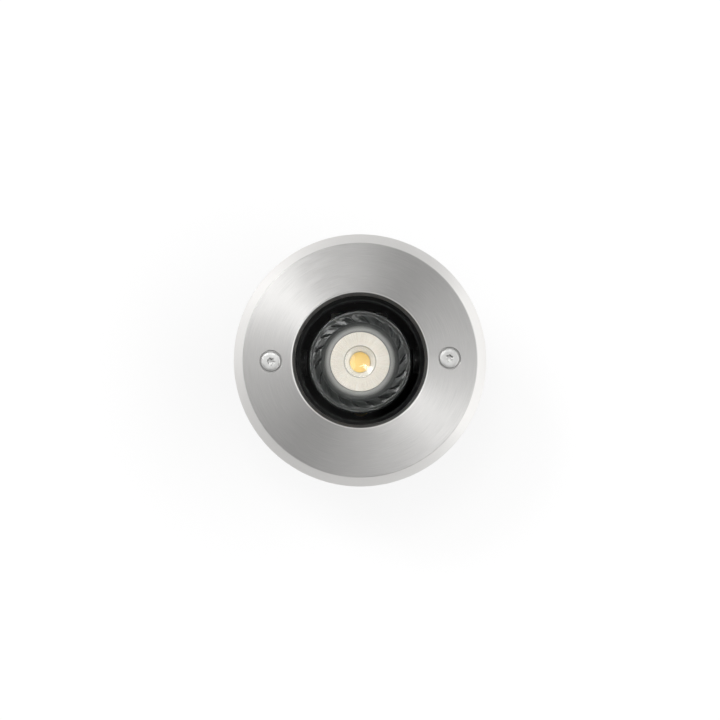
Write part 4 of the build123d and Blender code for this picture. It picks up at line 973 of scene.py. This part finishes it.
wave = math_node(sky, "ADD", math_node(sky, "DIVIDE", sine, flat_sq), 0.5, clamp=True)
flag_side = math_node(sky, "POWER", wave, FLAG_POWER)
flags = math_node(sky, "MULTIPLY", flag_side, rising(sky, height, FLAG_FROM, FLAG_TO))
ceiling = math_node(sky, "MULTIPLY", ceiling, math_node(sky, "SUBTRACT", 1.0, flags))
plain_sky = add_node(sky, "ShaderNodeBackground", Color=(1, 1, 1, 1), Strength=SKY_PLAIN)
seen_sky = add_node(sky, "ShaderNodeBackground", Color=(1, 1, 1, 1), Strength=ceiling)
sky_mix = add_node(sky, "ShaderNodeMixShader", in0=seen_rays(sky), in1=plain_sky.outputs[0],
                   in2=seen_sky.outputs[0])
add_node(sky, "ShaderNodeOutputWorld", Surface=sky_mix.outputs[0])
print("world", world.name, "with", len(sky.nodes), "nodes")

# %% [markdown]
# Two wide soft lamps stand on opposite sides, for the plate's bright sectors. A small key lamp
# at the upper left lights the vanes and the dish, and another small one hangs nearly overhead.


# %% The lamps
LOOKED_AT = 0.14


def soft_lamp(name, azimuth, elevation, distance, width, high, watts):
    """An area lamp that looks at the light's cover from a compass angle and a height angle, in
    degrees. Its distance and its sides are in metres."""
    data = bpy.data.lights.new(name, "AREA")
    data.shape, data.size, data.size_y, data.energy = "RECTANGLE", width, high, watts
    lamp = bpy.data.objects.new(name, data)
    a, e = radians(azimuth), radians(elevation)
    away = Vector((cos(a) * cos(e), sin(a) * cos(e), sin(e)))
    lamp.location = Vector((0, 0, LOOKED_AT)) + away * distance
    lamp.rotation_euler = away.to_track_quat("Z", "Y").to_euler()
    bpy.context.scene.collection.objects.link(lamp)
    print(name, watts, "W")


soft_lamp("softbox_left", 155, 58, 1.6, 1.0, 0.8, 1.8)
soft_lamp("softbox_right", 1, 60, 1.6, 1.5, 0.8, 8.0)
soft_lamp("key_lamp", 136, 66, 1.8, 0.36, 0.36, 4.0)
soft_lamp("top_lamp", 105, 80, 2.2, 0.3, 0.3, 3.5)

# %% [markdown]
# The camera looks down from 88 degrees, so that what lies deep in the light moves a little
# towards the bottom of the frame, and it is rolled by one degree.

# %% The camera
CAMERA_DISTANCE, CAMERA_ELEVATION, CAMERA_ROLL = 1.2, 88.0, 1.0
FRAME_WIDTH, SENSOR = 0.3414, 36.0
target = Vector((0, 0, COVER_TOP * MM))
camera_data = bpy.data.cameras.new("camera")
camera_data.sensor_width = SENSOR
camera_data.lens = SENSOR * CAMERA_DISTANCE / FRAME_WIDTH
camera = bpy.data.objects.new("camera", camera_data)
rise = radians(CAMERA_ELEVATION)
back = Vector((0, -cos(rise), sin(rise)))
camera.location = target + back * CAMERA_DISTANCE
right = Vector((1, 0, 0))
facing = Matrix((right, back.cross(right), back)).transposed()
camera.rotation_euler = (facing @ Matrix.Rotation(radians(-CAMERA_ROLL), 3, "Z")).to_euler()
bpy.context.scene.collection.objects.link(camera)
bpy.context.scene.camera = camera
bpy.context.scene.view_settings.view_transform = "Standard"
print("camera lens", round(camera_data.lens, 1), "mm")
